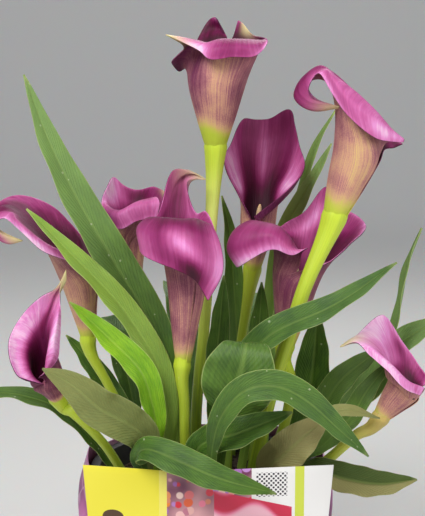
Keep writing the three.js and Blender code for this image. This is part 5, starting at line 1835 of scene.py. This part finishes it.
        axis=(0.6, -0.05, 0.8), back=(-0.8, 0.1, 0.6), radius=(3.4, 6.4), tube=((13, 8.5), (26, 12)),
        lips=(
            Lip(-1, ((25, -4, 15), (28, -8, 21), (27, -14, 24), (24, -16, 20))),
            Lip(-0.75, ((18, -13, 17), (18, -17, 27), (12, -23, 32), (12, -24, 26))),
            Lip(-0.5, ((10, -15, 25), (7, -19, 38), (0, -23, 44), (0, -25, 39))),
            Lip(-0.25, ((3, -10, 30), (-1, -13, 45), (-10, -17, 52), (-10, -20, 47))),
            Lip(-0.12, ((3, -6, 32), (-1, -8, 46), (-12, -11, 53), (-19, -13, 55))),
            Lip(0, ((5, 0, 33), (-1, 1, 46), (-10, 0, 53), (-19, -4, 55), (-29, -10, 51))),
            Lip(0.12, ((8, 6, 33), (3, 9, 48), (-6, 8, 58), (-16, 2, 57))),
            Lip(0.25, ((12, 12, 33), (9, 17, 49), (4, 20, 67))),
            Lip(0.5, ((19, 17, 30), (19, 21, 41), (17, 23, 50))),
            Lip(0.75, ((24, 12, 23), (26, 16, 29), (28, 18, 34))),
            Lip(1, ((27, 3, 19), (31, 3, 22), (33, 3, 26)))),
        tones=BloomTones(
            inside=(
                Spot(0.15, 0.9, 0.4, 0.5, 1), Spot(-0.5, 0.9, 0.5, 0.3, 1),
                Spot(0.42, 0.65, 0.12, 0.22, 0.44), Spot(0.1, 0.5, 0.3, 0.12, 0.85),
                Spot(0.45, 0.98, 0.2, 0.14, 0.9)), outside=(Spot(-0.3, 0.3, 0.3, 0.3, 0.5),),
            tips=(Spot(0, 1, 0.07, 0.24, 1),), shade=0.04, base=0, warm=0.75)),
)


@dataclass(frozen=True)
class FloorFinish(Finish):
    """A pale floor with painted light: darker near the plant and paler far from it."""

    near: tuple[Colour, Colour] = ((214, 213, 210), (222, 221, 218))
    far: Colour = (250, 249, 247)

    def lay(self, board: Board) -> Look:
        """Lays the floor's nodes."""
        place = board.place()
        near = board.ramp(board.noise(place, 1.5, 1.0), list(enumerate(self.near)))
        away = board.node("ShaderNodeVectorMath", {0: place}, operation="LENGTH").outputs["Value"]
        # Painted light: the floor turns paler with distance from the plant.
        return board.coats(near, (board.span(away, 0.6, 3.0), self.far)), self.roughness, None


@dataclass(frozen=True)
class Lamp:
    """A square soft light: its name, its place, its size and its power in watts."""

    name: str
    spot: Numbers
    size: float
    power: float


@dataclass
class Studio:
    """The pale floor, the soft lights and the camera."""

    target: Numbers = (5, 0, 273.5)
    distance: float = 750
    elevation: float = 8
    lens: float = 74.75
    sensor: float = 36
    floor_front: float = -3600
    floor_length: float = 6200
    floor_half_width: float = 5000
    bend_start: float = 2600
    bend_radius: float = 900
    bend_length: float = 1414
    surroundings: Numbers = (0.78, 0.8, 0.83, 1)
    surroundings_strength: float = 0.36
    lamps: Sequence[Lamp] = (Lamp("key", (-500, -900, 1250), 700, 17), Lamp("fill", (900, -700, 700), 800, 5),
                             Lamp("back", (200, 900, 1300), 700, 8))

    def floor(self) -> None:
        """A plain pale floor that rises behind the plant in one sweep."""

        def place(x: float, y: float) -> Vector:
            """A vertex on the sweep."""
            depth = lerp(self.floor_front, self.floor_length, y)
            rise = max(0, depth - self.bend_start)
            bend = min(rise / self.bend_radius, math.pi / 2)
            return Vector((lerp(-self.floor_half_width, self.floor_half_width, x),
                           min(depth, self.bend_start) + self.bend_radius * math.sin(bend),
                           self.bend_radius * (1 - math.cos(bend)) + max(0, rise - self.bend_length)))

        sweep = grown("studio_floor", 12, 80, place)
        sweep.data.materials.append(FloorFinish("studio_floor", roughness=0.8, glow=0.2).material())

    def lights(self) -> None:
        """A large soft light above the front, a weaker one at each side, and pale surroundings."""
        world = bpy.data.worlds.new("studio")
        world.use_nodes = True
        board = Board(world.node_tree)
        inputs = {"Color": self.surroundings, "Strength": self.surroundings_strength}
        shade = board.node("ShaderNodeBackground", inputs)
        board.node("ShaderNodeOutputWorld", {"Surface": shade.outputs[0]})
        bpy.context.scene.world = world
        bpy.context.scene.view_settings.view_transform = "Standard"
        for lamp in self.lamps:
            light = bpy.data.lights.new(lamp.name, "AREA")
            light.energy, light.size = lamp.power, lamp.size * MM
            holder = bpy.data.objects.new(lamp.name, light)
            holder.location = Vector(lamp.spot) * MM
            aim = (Vector(self.target) - Vector(lamp.spot)).normalized()
            holder.rotation_euler = aim.to_track_quat("-Z", "Y").to_euler()
            bpy.context.scene.collection.objects.link(holder)

    def camera(self) -> None:
        """The camera, a little above the blooms and in front of them."""
        data = bpy.data.cameras.new("front")
        data.lens, data.sensor_width = self.lens, self.sensor
        holder = bpy.data.objects.new("front", data)
        tilt = math.radians(self.elevation)
        away = Vector((0, -math.cos(tilt), math.sin(tilt))) * self.distance
        holder.location = (Vector(self.target) + away) * MM
        holder.rotation_euler = (-away).to_track_quat("-Z", "Y").to_euler()
        bpy.context.scene.collection.objects.link(holder)
        bpy.context.scene.camera = holder


def main() -> None:
    """Builds every piece and dresses it."""
    logging.basicConfig(level=logging.INFO, format="%(name)s %(message)s")
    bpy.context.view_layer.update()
    studio = Studio()
    studio.camera()
    studio.lights()
    studio.floor()
    holder = Holder()
    soil = SoilFinish("soil", roughness=0.95).material()
    plastic = PlasticFinish("pot", roughness=0.4).material()
    perlite = PerliteFinish("perlite", roughness=0.9).material()
    paper = CoverFinish("cover_paper", roughness=0.34).material()
    card = CardFinish("card", roughness=0.3).material()
    place_piece(holder.pot(), "pot", [plastic], "pot")
    place_piece(holder.soil(), "soil", [soil], "soil")
    place_piece(holder.grains("soil_crumbs", 420, (0.8, 2.6), 7), "soil", [soil])
    place_piece(holder.grains("soil_perlite", 90, (0.7, 1.7), 11), "soil", [perlite])
    place_piece(holder.cover(), "cover_paper", [paper], "pot_cover")
    place_piece(Card().build(), "card", [card], "label_card")
    greens = {tone: finish.material() for tone, finish in LEAF_FINISHES.items()}
    for number, leaf in enumerate(LEAVES, 1):
        name = f"leaf_{number:02}"
        place_piece(Leaf(name, leaf).build(), f"leaf_{leaf.tone.value}", [greens[leaf.tone]], name)
    inside = InsideFinish("spathe_inside", roughness=0.46, sheen=0.04, glow=0.06, specular=0.3).material()
    outside = OutsideFinish("spathe_outside", roughness=0.5, glow=0.05, specular=0.3).material()
    stalk = StalkFinish("stalk", roughness=0.36, glow=0.05).material()
    spadix = SpadixFinish("spadix", roughness=0.7).material()
    for number, shape in enumerate(BLOOMS, 1):
        bloom = Bloom(number, shape)
        place_piece(bloom.stalk(), "stalk", [stalk], f"flower_stalk_{number}")
        place_piece(bloom.spathe(), "spathe", [inside, outside], f"spathe_{number}")
        place_piece(bloom.spadix(), "spadix", [spadix], f"spadix_{number}")


if __name__ == "__main__":
    main()
